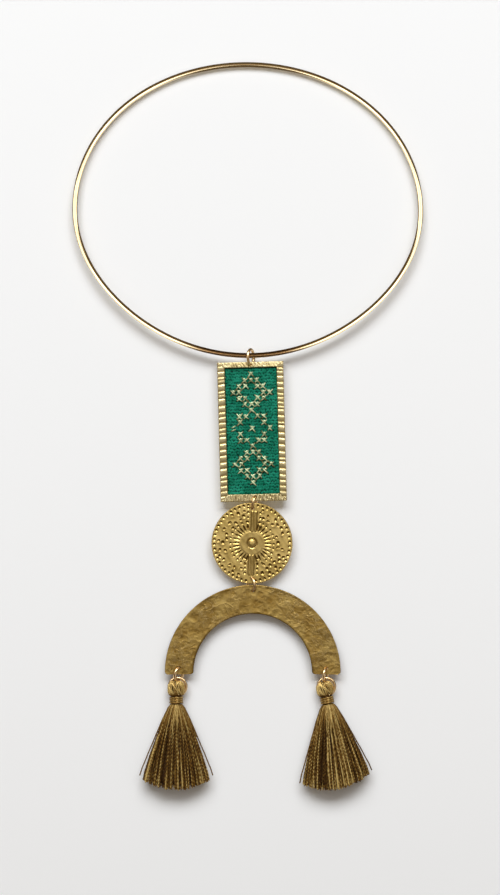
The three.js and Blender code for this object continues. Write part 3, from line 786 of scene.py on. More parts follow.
def cloth(material):
    """Thread blobs over a low crown, sunk round the needle's holes and at the top and left edges."""
    width = PANEL_WIDTH - BORDER_LEFT - BORDER_RIGHT - CLOTH_PLAY
    height = PANEL_HEIGHT - BORDER_TOP - BORDER_BOTTOM - CLOTH_PLAY
    columns, rows = CLOTH_COLUMNS, CLOTH_ROWS
    x = np.linspace(-width / 2, width / 2, columns)[None, :] * np.ones((rows, 1))
    y = np.linspace(-height / 2, height / 2, rows)[:, None] * np.ones((1, columns))
    crown = (1 - (2 * x / width) ** 4) * (1 - (2 * y / height) ** 6) * CLOTH_CROWN
    draws = np.random.default_rng(5)
    waves = sum(np.sin(x * a + y * b + p) for a, b, p in draws.uniform(-1.6, 1.6, (6, 3))) / 6
    weave = weave_height(x + 0.25 * waves, y + 0.1 * np.sin(x * 0.7), draws)
    z = CLOTH_FACE + crown + WEAVE_DEPTH * (weave - 0.65) + CLOTH_WAVES * waves
    middle = np.array([(BORDER_LEFT - BORDER_RIGHT) / 2, (BORDER_BOTTOM - BORDER_TOP) / 2, 0.0])
    pulled = np.zeros_like(x)
    for at_x, at_y, _ in stitch_places():
        for side_x, side_y in ((-1, -1), (1, -1), (-1, 1), (1, 1)):
            to_x = x - (at_x + side_x * STITCH_PITCH / 2 - middle[0])
            to_y = y - (at_y + side_y * STITCH_PITCH / 2 - middle[1])
            pulled = np.maximum(pulled, np.exp(-(to_x**2 + to_y**2) / NEEDLE_HOLE**2))
    edge = np.maximum(smooth(1 - (height / 2 - y) / 1.0), 0.7 * smooth(1 - (x + width / 2) / 0.8))
    pulled = np.maximum(0.8 * pulled, edge)
    z -= CLOTH_PULL * pulled
    # The tone falls as painted shade at the needle's holes, and as painted shadow of the borders at the top
    # and left edges
    weave = weave * (1 - pulled)
    points = np.stack([x, y, z], axis=-1) + middle
    shape = Shape()
    shape.add(panel_place(points), grid_faces(rows, columns), weave.ravel())
    made = piece("woven_cloth", shape, material, "green_cloth", "embroidered_cloth")
    return made


# Arms of the stitch that each mark of the chart stands for, as two directions and a lift, and how far their
# upper ends reach, as a share of the pitch
STITCH_ARMS = {
    "X": ([(1, 1, 0.4), (-1, 1, 0.62)], 0.46),
    "/": ([(1, 0.25, 0.2), (1, 0.35, 0.2)], 0.4),
    ">": ([(-1, 1, 0.3), (-1, -1, 0.45)], 0.4),
}
STITCH_RADIUS = 0.32
STITCH_TURNS = 1.7
KNOT_RISE = 0.42


def knot(shape, x, y, draws):
    """The small loop where a stitch's arms cross."""
    way = np.linspace(-1, 1, 9)
    wide = draws.uniform(0.3, 0.5)
    at_x, at_y = x + draws.normal(0, 0.12), y + draws.uniform(0.1, 0.35)
    bow = np.cos(way * np.pi / 2)
    height = CLOTH_FACE + 0.45 + KNOT_RISE * bow
    loop = np.stack([at_x + wide * way, at_y + KNOT_RISE * bow, height], axis=-1)
    # Painted shade towards the loop's ends, lighter on its top
    tube(shape, panel_place(loop), 0.22 + 0.11 * bow, 8, value=0.6 + 0.4 * bow)


def stitch_arm(shape, x, y, arm, upper, shift, draws):
    """One arm of a stitch: two-ply thread that rises over the cloth between its ends."""
    dx, dy, lift = arm
    share = np.linspace(0, 1, 15)
    bow = np.sin(np.pi * share)
    reach = STITCH_PITCH * draws.uniform(0.44, 0.52)
    over = STITCH_PITCH * upper * draws.uniform(0.8, 1.1)
    jitter = draws.normal(0, 0.15, 4)
    start = np.array([x - dx * reach + jitter[0], y - dy * reach + jitter[1] + shift, 0.0])
    end = np.array([x + dx * over + jitter[2], y + dy * over + jitter[3] + shift, 0.0])
    path = start + (end - start) * share[:, None]
    path[:, 2] = CLOTH_FACE + 0.02 + (lift + draws.uniform(0.0, 0.12)) * bow**0.7
    across = np.cross(end - start, UP)
    path += across / np.linalg.norm(end - start) * (draws.normal(0, 0.09) * bow)[:, None]
    # A random tone per arm, with painted shade towards its ends, where it goes into the cloth
    tone = np.clip(draws.normal(0.68, 0.2), 0.1, 1.0) * (0.35 + 0.65 * bow**0.8)
    lobes = draws.uniform(0, np.pi) + share * 2 * np.pi * STITCH_TURNS
    size = STITCH_RADIUS * (0.75 + 0.25 * bow) * draws.uniform(0.88, 1.1)
    side = turned(across, PANEL_TURN)
    tube(shape, panel_place(path), size, 8, side=side, lobes=lobes, value=tone, depth=0.25)


def stitches(material):
    """Raised cross stitches, laid a little unevenly over the cloth."""
    draws = np.random.default_rng(17)
    shape = Shape()
    for x, y, mark in stitch_places():
        arms, upper = STITCH_ARMS[mark]
        if mark != "/":
            knot(shape, x, y, draws)
        for number, arm in enumerate(arms):
            shift = (number - 0.5) * 1.1 if mark == "/" else 0.0
            stitch_arm(shape, x, y, arm, upper, shift, draws)
    return piece("cross_stitches", shape, material, None)


# Medallion


def pit(x, y, at_x, at_y, length, width, direction, power):
    """A pointed pit, 1 at its deepest and 0 outside. Its long way runs along the direction."""
    c, s = math.cos(direction), math.sin(direction)
    u = ((x - at_x) * c + (y - at_y) * s) / (length / 2)
    v = (-(x - at_x) * s + (y - at_y) * c) / (width / 2)
    return np.clip(1 - np.sqrt(u * u + v * v) ** power, 0, 1)


def painted_pit_shade(x, y, at_x, at_y, length, width, direction):
    """How dark a pit's far wall is painted, as shade: its side towards the photograph's top."""
    deep = pit(x, y, at_x, at_y, length, width, direction, 1.2)
    upper = pit(x, y, at_x, at_y + 0.3, length * 0.95, width * 0.8, direction, 1.4)
    return np.minimum(1.0, 2.2 * upper * (deep > 0))


class Relief:
    """The medallion's face: its height in millimetres, and its tone: painted shade and a darker boss."""

    def __init__(self, x, y):
        self.x, self.y = x, y
        self.z = 0.035 * np.sin(x * 0.9 + 1.0) * np.cos(y * 0.8) + 0.02 * np.sin(x * 2.3 + y * 1.7)
        self.hollow = np.zeros_like(x)

    def darken(self, hollow):
        self.hollow = np.maximum(self.hollow, hollow)

    def strike(self, at, mark_size, direction, power=1.2):
        """A struck mark with painted shade on its far wall. It returns the mark's form."""
        length, width, depth = mark_size
        mark = pit(self.x, self.y, *at, length, width, direction, power)
        self.z -= depth * mark
        self.darken(painted_pit_shade(self.x, self.y, *at, length, width, direction))
        return mark

    def add_boss(self):
        """A low round boss with a dome in its recess."""
        r = np.hypot(self.x, self.y)
        boss = smooth((DISC_BOSS + 0.25 - r) / 0.5)
        recess = np.clip((RECESS_RADIUS - r) / 0.5, 0, 1)
        self.z += 0.09 * boss
        self.z -= RECESS_DEPTH * recess
        dome = DOME_RISE * np.sqrt(np.clip(1 - (r / DOME_RADIUS) ** 2.2, 0, 1))
        self.z = np.maximum(self.z, -RECESS_DEPTH + dome * (r < DOME_RADIUS))
        # Painted shade: a dark crescent on the dome's lower side and a dark arc in the recess above it
        painted_dome_shade = np.exp(-(((np.hypot(self.x, self.y - 0.12) - 1.8) / 0.2) ** 2))
        self.hollow += 0.47 * boss
        self.hollow = np.maximum(self.hollow * (1 - recess), painted_dome_shade)

    def add_petals(self, draws):
        """A fan of long pits at each side of the boss, each with a dot at its tip."""
        for side in (0.0, math.pi):
            for i in range(PETALS_PER_SIDE):
                step = (i - (PETALS_PER_SIDE - 1) / 2) * PETAL_ARC / (PETALS_PER_SIDE - 1)
                direction = side + math.radians(step + draws.uniform(-1.5, 1.5))
                length = PETAL_LENGTH + 0.25 * draws.uniform(-1, 1)
                middle = DISC_BOSS + 0.15 + length / 2
                self.strike(polar(middle, direction), (length, PETAL_WIDTH, PETAL_DEPTH), direction, 1.0)
                tip = middle + length / 2 + 0.55
                self.strike(polar(tip, direction), TIP_DOT, direction)

    def add_bars(self, draws):
        """A ribbed bar from the boss to the rim, above and below, between two rows of dots."""
        for side, middle in BAR_MIDDLES.items():
            lane = side * self.y
            on_bar = smooth((lane - DISC_BOSS + 0.1) / 0.4) * smooth((BAR_END - lane) / 0.5)
            across = (self.x - middle) / BAR_HALF_WIDTH
            inside = on_bar * smooth((1.05 - np.abs(across)) / 0.18)
            ribs = 0.5 - 0.5 * np.cos(across * np.pi * 2.0)
            edge = on_bar * np.exp(-(((np.abs(across) - 1.02) / 0.16) ** 2))
            self.z += inside * (RIB_RISE * ribs + 0.02)
            self.z -= 0.1 * edge
            # Painted shade in the grooves between the ribs and along the bar's edges
            self.darken(np.maximum(inside * (1 - ribs) * 0.36, edge * 0.8))
            for beside in (-1, 1):
                for k in range(BAR_DOTS):
                    at_y = side * (BAR_DOT_FIRST + BAR_DOT_PITCH * k + draws.uniform(-0.15, 0.15))
                    at = (middle + beside * BESIDE_BAR, at_y)
                    if math.hypot(*at) < BAR_DOT_LAST:
                        self.strike(at, BAR_DOT, 0.3 * beside)

    def add_notches(self, draws):
        """Dots round the rim, apart from where the bars end."""
        for i in range(NOTCHES):
            direction = (i + 0.5) / NOTCHES * 2 * math.pi
            if abs(math.cos(direction)) >= 0.07:
                at = polar(NOTCH_CIRCLE + 0.1 * draws.uniform(-1, 1), direction)
                self.strike(at, NOTCH, direction + 0.25)

    def add_pits(self, draws):
        """Scattered pits with a raised lip, clear of the bars and of each other."""
        placed = []
        rim = DISC_DIAMETER / 2
        while len(placed) < SCATTERED_PITS:
            at = draws.uniform(-rim, rim, 2)
            size = draws.uniform(1.3, 1.8)
            in_ring = PIT_RING[0] < math.hypot(*at) < PIT_RING[1]
            clear = all(math.hypot(*(at - other)) > PIT_SPACING for other in placed)
            if not in_ring or abs(at[0] - 0.2) < 3.5 or not clear:
                continue
            placed.append(at)
            direction = draws.uniform(0, math.pi)
            dot = self.strike(at, (size, size * draws.uniform(0.65, 0.95), PIT_DEPTH), direction)
            lip = pit(self.x, self.y, at[0], at[1] - 0.25, size * 1.9, size * 1.6, direction, 1.2)
            self.z += 0.12 * lip * (1 - np.minimum(dot * 3, 1))


def polar(radius, direction):
    return radius * math.cos(direction), radius * math.sin(direction)


def disc(material):
    """The medallion as rings of points from its middle over the face, round the rim and under."""
    radius = DISC_DIAMETER / 2
    half = DISC_THICKNESS / 2
    around, face_rings = 560, 118
    bend = np.linspace(0.2, 1, 6) * np.pi / 2
    flat = radius - DISC_EDGE
    radii = np.concatenate([np.linspace(0.05, flat, face_rings), radius - DISC_EDGE * (1 - np.sin(bend))])
    drop = np.concatenate([np.zeros(face_rings), DISC_EDGE * (1 - np.cos(bend))])
    turn = np.arange(around) / around * 2 * np.pi
    x = radii[:, None] * np.cos(turn)
    y = radii[:, None] * np.sin(turn)
    pattern = turned(np.stack([x, y, np.zeros_like(x)], axis=-1), -DISC_PATTERN_TURN)
    draws = np.random.default_rng(8)
    relief = Relief(pattern[..., 0], pattern[..., 1])
    relief.add_boss()
    relief.add_petals(draws)
    relief.add_bars(draws)
    relief.add_notches(draws)
    relief.add_pits(draws)
    z = half + relief.z * smooth((radius - 0.15 - radii) / 0.3)[:, None] - drop[:, None]
    under = np.array([(radius, -half + 0.2), (radius - 0.2, -half), (radius * 0.5, -half), (0.05, -half)])
    x = np.vstack([x, under[:, :1] * np.cos(turn)])
    y = np.vstack([y, under[:, :1] * np.sin(turn)])
    z = np.vstack([z, under[:, 1:] * np.ones(around)])
    hollow = np.vstack([relief.hollow, np.zeros((len(under), around))])
    centre = node_middle("disc")
    centre[2] = node_box("disc")[0][2] + half
    points = turned(np.stack([x, y, z], axis=-1), DISC_TURN) + centre
    shape = Shape()
    shape.add_body(points, hollow)
    mesh = bored(shape.mesh("medallion"), middle=1, lower=-1)
    return piece("medallion", mesh, material, "disc_brass", "disc")


# Half ring

# Hammer blows: how many, from and to which radius, and how deep
BLOWS = [(170, (1.3, 3.4), 0.13), (420, (0.4, 1.0), 0.06)]


def hammered(x, y, draws, count, size, depth):
    """Overlapping shallow dents over the half ring's own frame, in millimetres."""
    low = np.zeros_like(x)
    turn = draws.uniform(-0.05, math.pi + 0.05, count)
    away = draws.uniform(ARCH_INNER - 1, ARCH_OUTER + 1, count)
    for k in range(count):
        at_x, at_y = polar(away[k], turn[k])
        radius = draws.uniform(*size)
        near = np.hypot(x - at_x, (y - at_y) * draws.uniform(0.8, 1.25)) / radius
        low = np.maximum(low, np.clip(1 - near**2, 0, 1) * draws.uniform(0.5, 1.0))
    return low * depth


def creases(x, y, draws, count):
    """Short curved ridges, most of them on the right half and at the ends."""
    high = np.zeros_like(x)
    made = 0
    while made < count:
        turn = draws.uniform(0, math.pi)
        if draws.uniform() > 0.3 + 0.7 * (turn < 1.25) + 0.4 * (turn > 2.75):
            continue
        made += 1
        at_x, at_y = polar(draws.uniform(ARCH_INNER + 0.5, ARCH_OUTER - 0.5), turn)
        way = turn + math.pi / 2 + draws.normal(0, 0.7)
        c, s = math.cos(way), math.sin(way)
        u = (x - at_x) * c + (y - at_y) * s
        v = -(x - at_x) * s + (y - at_y) * c + draws.uniform(-0.22, 0.22) * u**2
        length, width = draws.uniform(0.7, 2.2), draws.uniform(0.1, 0.17)
        ridge = np.clip(1 - (u / length) ** 2, 0, 1) * np.exp(-((v / width) ** 2))
        high = np.maximum(high, ridge * draws.uniform(0.4, 1.0))
    return high


def arch_outline():
    """Directions from one end of the half ring to the other, and its inner and outer radius at each. The
    radii close in at the rounded corners."""
    overrun = math.radians(ARCH_OVERRUN)
    corner = ARCH_CORNER / ((ARCH_OUTER + ARCH_INNER) / 2)
    span = math.pi + 2 * overrun
    ends = corner * (1 - np.cos(np.linspace(0, 1, 8)[:-1] * np.pi / 2))
    angles = np.concatenate([ends, np.linspace(corner, span - corner, 620), (span - ends)[::-1]])
    to_end = np.clip(np.minimum(angles, span - angles) / corner, 0, 1)
    inset = ARCH_CORNER * (1 - np.sqrt(1 - (1 - to_end) ** 2))
    return (angles - overrun)[:, None], (ARCH_INNER + inset)[:, None], (ARCH_OUTER - inset)[:, None]


def arch(material):
    """The half ring: sections from its inner edge over the hammered face, round its outer edge and under.
    The tone is 1 on rubbed crests and -1 where it is darkest, as painted shade on the inner lip and
    underneath."""
    draws = np.random.default_rng(31)
    direction, inner, outer = arch_outline()
    rows = len(direction)
    half, edge = ARCH_THICKNESS / 2, ARCH_EDGE
    share = np.linspace(0, 1, 64)
    lip = np.sin(np.linspace(0, 1, 5)[1:] * np.pi / 2)
    lip_z = half - edge * (1 - np.sqrt(1 - lip**2))
    face = (inner + edge) + (outer - inner - 2 * edge) * share
    x, y = face * np.cos(direction), face * np.sin(direction)
    blows = sum(hammered(x, y, draws, *row) for row in BLOWS)
    folds = creases(x, y, draws, ARCH_CREASES)
    blows = np.maximum(blows - CREASE_RISE * folds, -0.03)
    fade = smooth(np.minimum(share, 1 - share) * 12) * 0.8 + 0.2
    # The inner tenth of the face takes painted shade
    crest = np.clip(1 - blows / 0.1, 0, 1) * 0.4 + 0.8 * folds - 1.1 * smooth(1 - share / 0.1)
    inner_lip, outer_lip = (inner + edge) - edge * lip, (outer - edge) + edge * lip
    under = [outer, outer - edge, (outer + inner) / 2, inner + edge, inner]
    under_z = [-half + edge, -half, -half, -half, -half + edge]
    radii = np.hstack([inner_lip[:, ::-1], face, outer_lip, *under])
    inner_z, outer_z = [np.tile(z, (rows, 1)) for z in (lip_z[::-1], [*lip_z, *under_z])]
    levels = np.hstack([inner_z, half - blows * fade, outer_z])
    # Painted shade on the inner lip and the underside
    dark, edge_tone = np.full((rows, 4), -1.0), np.full((rows, 4), 0.3)
    tone = np.hstack([dark, crest, edge_tone, np.full((rows, len(under)), -1.0)])
    low, high = node_box("arch")
    centre = np.array([(low[0] + high[0]) / 2, high[1] - ARCH_OUTER, low[2] + half])
    points = np.stack([radii * np.cos(direction), radii * np.sin(direction), levels], axis=-1) + centre
    columns = radii.shape[1]
    shape = Shape()
    shape.add(points, grid_faces(rows, columns, close_columns=True)[:, ::-1], tone.ravel())
    shape.add_polygon(np.arange(columns))
    shape.add_polygon((np.arange(columns) + (rows - 1) * columns)[::-1])
    mesh = bored(shape.mesh("hammered_arch"), lower=1, left=-1, right=-1)
    return piece("hammered_arch", mesh, material, "arch_brass", "arch")


# Tassels


class TasselFrame:
    """The axis of one tassel, from the middle of its bound neck towards its tips."""

    def __init__(self, side):
        centre, axis, _ = round_frame(f"neck_wrap_{side}")
        axis = unit(axis * (1.0, 1.0, 0.0))
        self.start = centre * (1.0, 1.0, 0.0)
        self.along = axis if axis[1] < 0 else -axis
        self.side = np.cross(UP, self.along)
        self.height = NECK_DIAMETER / 2 + NECK_GAP + WRAP_WALL
        self.sweep = SWEEP[side]

    def place(self, along, across, z):
        return (
            self.start
            + np.asarray(along)[..., None] * self.along
            + np.asarray(across)[..., None] * self.side
            + np.asarray(z)[..., None] * UP
        )

    def skirt(self, share, turn, scale):
        """Points of the skirt at the shares of its length, at the turn round its section."""
        neck = NECK_DIAMETER / 2
        wide = neck + (SKIRT_WIDTH / 2 - neck) * np.interp(share, SKIRT_STATIONS, SKIRT_WIDTHS)
        fullness = np.interp(share, SKIRT_STATIONS, SKIRT_DEPTHS)
        thick = neck + (SKIRT_THICKNESS / 2 - neck) * fullness
        level = self.height + (SKIRT_THICKNESS / 2 - self.height) * fullness
        across = np.cos(turn) * wide * scale
        z = level + np.sin(turn) * thick * scale
        bow = 1 - SKIRT_ARC * (across / (SKIRT_WIDTH / 2)) ** 2
        along = NECK_LENGTH / 2 + SKIRT_LENGTH * share * bow
        return along, across + self.sweep * share, z


def even_turns(count, draws, spread):
    """Turns round a flattened oval that are even along its edge, with a little unevenness."""
    turn = np.linspace(0, 2 * np.pi, 721)
    x, z = np.cos(turn) * SKIRT_WIDTH / 2, np.sin(turn) * SKIRT_THICKNESS / 2
    length = np.concatenate([[0], np.cumsum(np.hypot(np.diff(x), np.diff(z)))])
    wanted = (np.arange(count) + draws.uniform(-spread, spread, count)) / count * length[-1]
    return np.interp(wanted % length[-1], length, turn)


# Cords of a skirt: the outer ones are of two plies and hide the plain inner ones. The scale says where they
# hang, as a share of the skirt's section
OUTER_CORDS = {"count": 118, "scale": 0.97, "radius": 0.31, "sides": 6, "steps": 84, "twisted": True}
INNER_CORDS = {"count": 64, "scale": 0.80, "radius": 0.34, "sides": 5, "steps": 30, "twisted": False}
CORD_BUNDLES = 13
CORD_GATHER = 0.032
FINE_THREADS = 84
STRAY_REACH = 0.06
CORE_SCALE = 0.7


def lit_middle(turn):
    """1 where a thread lies along the skirt's middle, to 0 at its sides: where light is painted."""
    return math.exp(-((math.cos(turn) / 0.6) ** 2))


def skirt_strands(shape, tassel, draws, count, scale, radius, sides, steps, twisted):
    """Cords that hang round the skirt's section. They gather in bundles towards the tips, cross a little
    and lie at different depths."""
    share = np.linspace(0.0, 1.0, steps) ** 0.94
    phase = draws.uniform(0, 6)
    for turn in even_turns(count, draws, 0.32):
        longer = 1 + draws.normal(0, 0.009)
        sunk = draws.uniform(0, 1) ** 1.5
        gather = CORD_GATHER * np.sin(CORD_BUNDLES * turn + phase) * share**1.5
        wander = draws.normal(0, 0.028) * np.sin(np.pi * share * draws.uniform(0.7, 1.3))
        sway = draws.normal(0, 0.02)
        sway = sway * np.sin(2 * np.pi * share * draws.uniform(0.6, 1.2) + draws.uniform(0, 6))
        along, across, z = tassel.skirt(share, turn + gather + wander + sway, scale * (1 - 0.03 * sunk))
        z = z - 0.85 * sunk * math.sin(turn) * smooth(share / 0.3)
        along = NECK_LENGTH / 2 + (along - NECK_LENGTH / 2) * longer
        width = radius * draws.uniform(0.85, 1.12) * (0.42 + 0.58 * smooth(share / 0.5))
        z = np.maximum(z, width)
        # The tone: a random shade per cord, with painted shade on the deeper cords and in a band left of the
        # middle
        shadow_band = 0.16 * math.exp(-(((math.cos(turn) + 0.35) / 0.22) ** 2))
        tone = np.clip(draws.normal(0.5, 0.38) - 0.36 * sunk - shadow_band, 0.0, 0.95)
        # Painted glints along the twisted plies, and a slower change of tone
        glints_and_tone = 0.28 * np.sin(share * draws.uniform(90, 190) + draws.uniform(0, 6))
        glints_and_tone = glints_and_tone + 0.12 * np.sin(share * draws.uniform(8, 40) + draws.uniform(0, 6))
        middle = 0.07 * np.exp(-(((share - 0.55) / 0.2) ** 2))
        # Painted light on the upper skirt along its middle
        top = 0.5 * lit_middle(turn) * smooth(1 - share / 0.33)
        tone = np.clip(tone + glints_and_tone - middle + top + 0.14 * smooth((share - 0.78) / 0.22), 0, 1)
        lobes = None
        if twisted:
            pitch = draws.uniform(2.6, 3.4)
            lobes = draws.uniform(0, np.pi) + share * SKIRT_LENGTH / pitch * 2 * np.pi
        tube(shape, tassel.place(along, across, z), width, sides, lobes=lobes, value=tone, depth=0.4)


def fine_threads(shape, tassel, draws):
    """Fine threads that lie over the upper skirt."""
    for turn in draws.uniform(0.05, math.pi - 0.05, FINE_THREADS):
        reach_end = draws.uniform(0.14, 0.42)
        share = np.linspace(0.0, reach_end, 30)
        wave = 0.018 * np.sin(share * draws.uniform(40, 90) + draws.uniform(0, 6)) * smooth(share / 0.1)
        drift = draws.normal(0, 0.2) * share
        along, across, z = tassel.skirt(share, turn + wave + drift, 1.0)
        z = z + 0.05 - 0.5 * smooth((share / reach_end - 0.85) / 0.15)
        # Painted light on the threads along the middle, and darker towards each thread's end
        tone = np.clip(draws.normal(0.5 + 0.3 * lit_middle(turn), 0.2), 0.1, 1.0) - 0.4 * share
        tube(shape, tassel.place(along, across, z), 0.15, 5, value=tone)


def stray_strands(shape, tassel, draws):
    """A strand at each side of the skirt that stands off."""
    share = np.linspace(0.0, 1.0, 40)
    for turn in (0.05, math.pi - 0.04):
        along, across, z = tassel.skirt(share, turn, 1 + STRAY_REACH * share**2)
        path = tassel.place(along * draws.uniform(0.965, 0.99), across, z)
        tube(shape, path, 0.24, 6, value=draws.uniform(0.2, 0.4))


def skirt_core(shape, tassel):
    """A plain body inside the cords, so that no light falls through them; its dark tone is painted shade."""
    share = np.linspace(0.0, 0.95, 24)[:, None]
    turn = np.arange(36)[None, :] / 36 * 2 * np.pi
    shape.add_body(tassel.place(*tassel.skirt(share, turn, CORE_SCALE)), 0.0)


def skirt(side, tassel, material, draws):
    shape = Shape()
    skirt_strands(shape, tassel, draws, **OUTER_CORDS)
    fine_threads(shape, tassel, draws)
    skirt_strands(shape, tassel, draws, **INNER_CORDS)
    stray_strands(shape, tassel, draws)
    skirt_core(shape, tassel)
    return piece(f"tassel_skirt_{side}", shape, material, "tassel_thread", f"tassel_{side}")


# Threads of a head in two layers: how many, where they lie as a share of the head's section, their radius
HEAD_LAYERS = [(38, 0.95, 0.27), (20, 0.84, 0.42)]
HEAD_OVER = 0.5
HEAD_FULLNESS = 0.9
BINDING_TURNS = 6
BINDING_RADIUS = 0.34
BINDING_FULLNESS = 0.3


def head(side, tassel, material, draws):
    """Threads that run over the tassel's head from the neck and back, a little aslant."""
    shape = Shape()
    share = np.linspace(1.0, 0.0, 34)
    body = np.interp(share, HEAD_STATIONS, HEAD_WIDTHS)
    for layer, (count, scale, radius) in enumerate(HEAD_LAYERS):
        for k in range(count):
            turn = (k + 0.5 * layer + draws.uniform(-0.25, 0.25)) / count * 2 * np.pi
            turn = turn + 0.9 * (1 - share) + 0.1 * np.sin(np.pi * share * 2 + k)
            across = np.cos(turn) * (HEAD_WIDTH + HEAD_FULLNESS) / 2 * body * scale
            z = tassel.height + np.sin(turn) * HEAD_THICKNESS / 2 * body * scale
            along = -NECK_LENGTH / 2 - (HEAD_LENGTH + HEAD_OVER) * (1 - share) * (1 - 0.04 * layer)
            width = radius * (0.75 + 0.25 * np.sin(np.pi * share))
            lobes = draws.uniform(0, np.pi) + share * 2 * np.pi * 2.6
            # Painted shade on the inner layer, and in the crease where the head meets the binding
            tone = np.clip(draws.normal(0.88, 0.12) - 0.4 * layer, 0.2, 1.0)
            tone = np.clip(tone - 0.5 * smooth((share - 0.74) / 0.26), 0, 1)
            tube(shape, tassel.place(along, across, z), width, 6, lobes=lobes, value=tone, depth=0.3)
    return piece(f"tassel_head_{side}", shape, material, "tassel_thread")


def wrap(side, tassel, material):
    """The binding: thread wound round the neck, pressed flat where it lies on the floor."""
    shape = Shape()
    t = np.linspace(0, 1, BINDING_TURNS * 26)
    turn = t * BINDING_TURNS * 2 * np.pi
    coil = tassel.height - BINDING_RADIUS + BINDING_FULLNESS
    coil = coil + 0.04 * np.sin(turn * 0.37 + 1) + 0.03 * np.sin(turn * 1.3)
    along = -NECK_LENGTH / 2 + 0.35 + (NECK_LENGTH - 0.65) * t + 0.05 * np.sin(turn * 0.5)
    z = np.maximum(tassel.height + np.sin(turn) * coil, BINDING_RADIUS)
    path = tassel.place(along, np.cos(turn) * coil, z)
    tone = 0.6 + 0.15 * np.sin(turn * 0.5 + 2)
    tube(shape, path, BINDING_RADIUS, 8, side=tassel.along, lobes=t * 2 * np.pi * 30, value=tone)
    core = np.linspace(-NECK_LENGTH / 2 - 0.4, NECK_LENGTH / 2 + 0.4, 6)
    core = tassel.place(core, np.zeros(6), np.full(6, tassel.height))
    tube(shape, core, NECK_DIAMETER / 2, 20, value=0.15)
    return piece(f"thread_binding_{side}", shape, material, "wrap_thread", f"neck_wrap_{side}")


# Floor, light and camera

FLOOR_SIZE = 3000.0
FLOOR_DROP = 0.02
DAYLIGHT = (0.97, 1.0, 1.035)


class Lamp(NamedTuple):
    """A soft box that looks at the necklace. Angles are in degrees, with azimuth 90 at the photograph's
    top, sizes in metres and the power in watts. It lights the matt surfaces, or it is a card that only the
    reflections of the collar, the links or all pieces but the collar see."""

    name: str
    azimuth: float
    elevation: float
    distance: float
    width: float
    height: float
    power: float
    seen_by: str
    colour: tuple = DAYLIGHT


WALL_POWER = 9.2565
LOW_WALL_POWER = 6.006
LAMPS = [
    Lamp("window", 92, 44, 2.4, 3.0, 1.1, 77.0, "matt"),
    Lamp("fill_left", 183, 47, 0.5, 0.4, 0.25, 0.17, "matt"),
    Lamp("fill_right", -3, 47, 0.5, 0.4, 0.25, 0.17, "matt"),
    Lamp("fill_top", 90, 88, 1.8, 1.6, 1.6, 1.6, "matt"),
    Lamp("wall_left", 180, 43, 1.0, 0.85, 1.65, WALL_POWER, "collar"),
    Lamp("wall_right", 0, 43, 1.0, 0.85, 1.65, WALL_POWER, "collar"),
    Lamp("wall_low_left", 222, 42, 1.0, 0.7, 1.3, LOW_WALL_POWER, "collar"),
    Lamp("wall_low_right", -42, 42, 1.0, 0.7, 1.3, LOW_WALL_POWER, "collar"),
    Lamp("zenith", 90, 86, 1.2, 0.5, 0.5, 0.42, "collar", (1.0, 0.80, 0.60)),
    Lamp("window_card", 94, 42, 1.25, 0.8, 0.5, 10.5, "rest"),
    Lamp("ring_card", 90, 46, 1.2, 2.2, 0.5, 17.0, "links"),
    *[Lamp(f"low_card_{number}", 45 + 90 * number, 13, 1.5, 2.4, 0.5, 1.2, "rest") for number in range(4)],
    Lamp("ceiling", 90, 80, 1.2, 1.3, 0.9, 2.7, "rest"),
]


def floor():
    size = FLOOR_SIZE * MM
    mesh = bpy.data.meshes.new("floor")
    corners = [(-size, -size, 0), (size, -size, 0), (size, size, 0), (-size, size, 0)]
    mesh.from_pydata(corners, [], [(0, 1, 2, 3)])
    made = linked("floor", mesh)
    mesh.materials.append(floor_material())
    made.location.z = -FLOOR_DROP * MM
    made.visible_glossy = False


def lamp(row):
    data = bpy.data.lights.new(row.name, "AREA")
    data.shape = "RECTANGLE"
    data.size, data.size_y = row.width, row.height
    data.energy = row.power
    data.color = row.colour
    made = linked(row.name, data)
    a, e = math.radians(row.azimuth), math.radians(row.elevation)
    way = Vector((math.cos(a) * math.cos(e), math.sin(a) * math.cos(e), math.sin(e)))
    made.location = way * row.distance
    made.rotation_mode = "QUATERNION"
    made.rotation_quaternion = way.to_track_quat("Z", "Y")
    made.visible_diffuse = row.seen_by == "matt"
    made.visible_glossy = row.seen_by != "matt"
    made.visible_camera = False
    return made


def falls_on(light, pieces):
    """Lets a light fall on these pieces only."""
    group = bpy.data.collections.new(light.name)
    for item in pieces:
        group.objects.link(item)
    light.light_linking.receiver_collection = group


def studio_world():
    """Even dim light from above. Below the horizon, where only reflections look, the pale surround shows
    at the lower left and the lower right."""
    m = Nodes(bpy.data.worlds.new("studio"), "Generated")
    bpy.context.scene.world = m.owner
    x, y, z = m.node("ShaderNodeSeparateXYZ", {0: m.place}).outputs
    sideways = m.math("ABSOLUTE", x)
    reach = m.math("SQRT", m.plus(m.times(sideways, sideways), m.times(y, y)))
    to_side = m.range(m.math("DIVIDE", sideways, reach), 0.2, 0.5)
    to_front = m.range(m.math("DIVIDE", y, reach), 0.15, -0.3)
    pale = m.times(m.times(to_side, to_front), m.range(z, 0.02, -0.02))
    shade = m.mix(pale, rgb(0.12, 0.09, 0.058), rgb(1.0, 1.0, 1.0))
    m.feed(m.tree.nodes["Background"].inputs["Color"], shade)


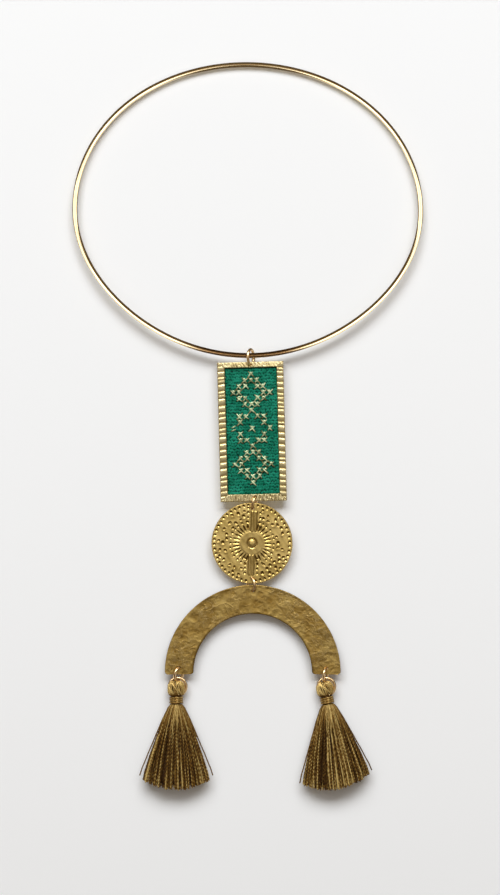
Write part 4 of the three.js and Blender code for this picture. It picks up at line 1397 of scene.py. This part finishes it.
def lighting(collar_piece, links, rough_pieces):
    """A wide window at the photograph's top with a little fill, and cards for the metals' reflections:
    the collar sees bright walls at both sides, the rest sees the window and a dim ceiling."""
    groups = {"collar": [collar_piece], "links": links, "rest": rough_pieces + links}
    for row in LAMPS:
        light = lamp(row)
        if row.seen_by in groups:
            falls_on(light, groups[row.seen_by])
    studio_world()


def camera():
    data = bpy.data.cameras.new("camera")
    made = linked("camera", data)
    x = (PHOTO_WIDTH / 2 - PHOTO_ORIGIN[0]) * PIXEL
    y = (PHOTO_ORIGIN[1] - PHOTO_HEIGHT / 2) * PIXEL
    plate = node_middle("arch")[2]
    made.location = Vector((x, y, CAMERA_HEIGHT + plate)) * MM
    data.sensor_fit = "AUTO"
    data.sensor_width = SENSOR
    data.lens = SENSOR * CAMERA_HEIGHT / (PHOTO_HEIGHT * PIXEL)
    data.clip_start = 0.01
    data.clip_end = 20.0
    bpy.context.scene.camera = made


def main():
    camera()
    floor()
    bpy.context.scene.view_settings.view_transform = "Standard"
    wire = collar(wire_metal("collar_brass", rgb(0.86, 0.70, 0.43), rgb(0.68, 0.50, 0.26), 0.05))
    ring_metal = wire_metal("ring_brass", rgb(0.86, 0.60, 0.31), rgb(0.60, 0.38, 0.15), 0.26)
    links = [
        wire_ring(f"link_{place}", f"jump_ring_{place}", JUMP_WIRE, ring_metal, cut_at)
        for place, cut_at in RING_CUTS.items()
    ]
    rough = [panel_frame(frame_metal()), cloth(cloth_material()), stitches(gold_thread())]
    rough += [disc(disc_metal()), arch(arch_metal())]
    thread = tassel_thread("tassel_thread")
    binding = tassel_thread("wrap_thread")
    for number, side in enumerate(("left", "right")):
        draws = np.random.default_rng(50 + number)
        tassel = TasselFrame(side)
        ring = f"tassel_ring_{side}"
        links.append(wire_ring(f"tassel_link_{side}", ring, TASSEL_RING_WIRE, ring_metal))
        rough.append(skirt(side, tassel, thread, draws))
        rough.append(head(side, tassel, thread, draws))
        rough.append(wrap(side, tassel, binding))
    lighting(wire, links, rough)


main()
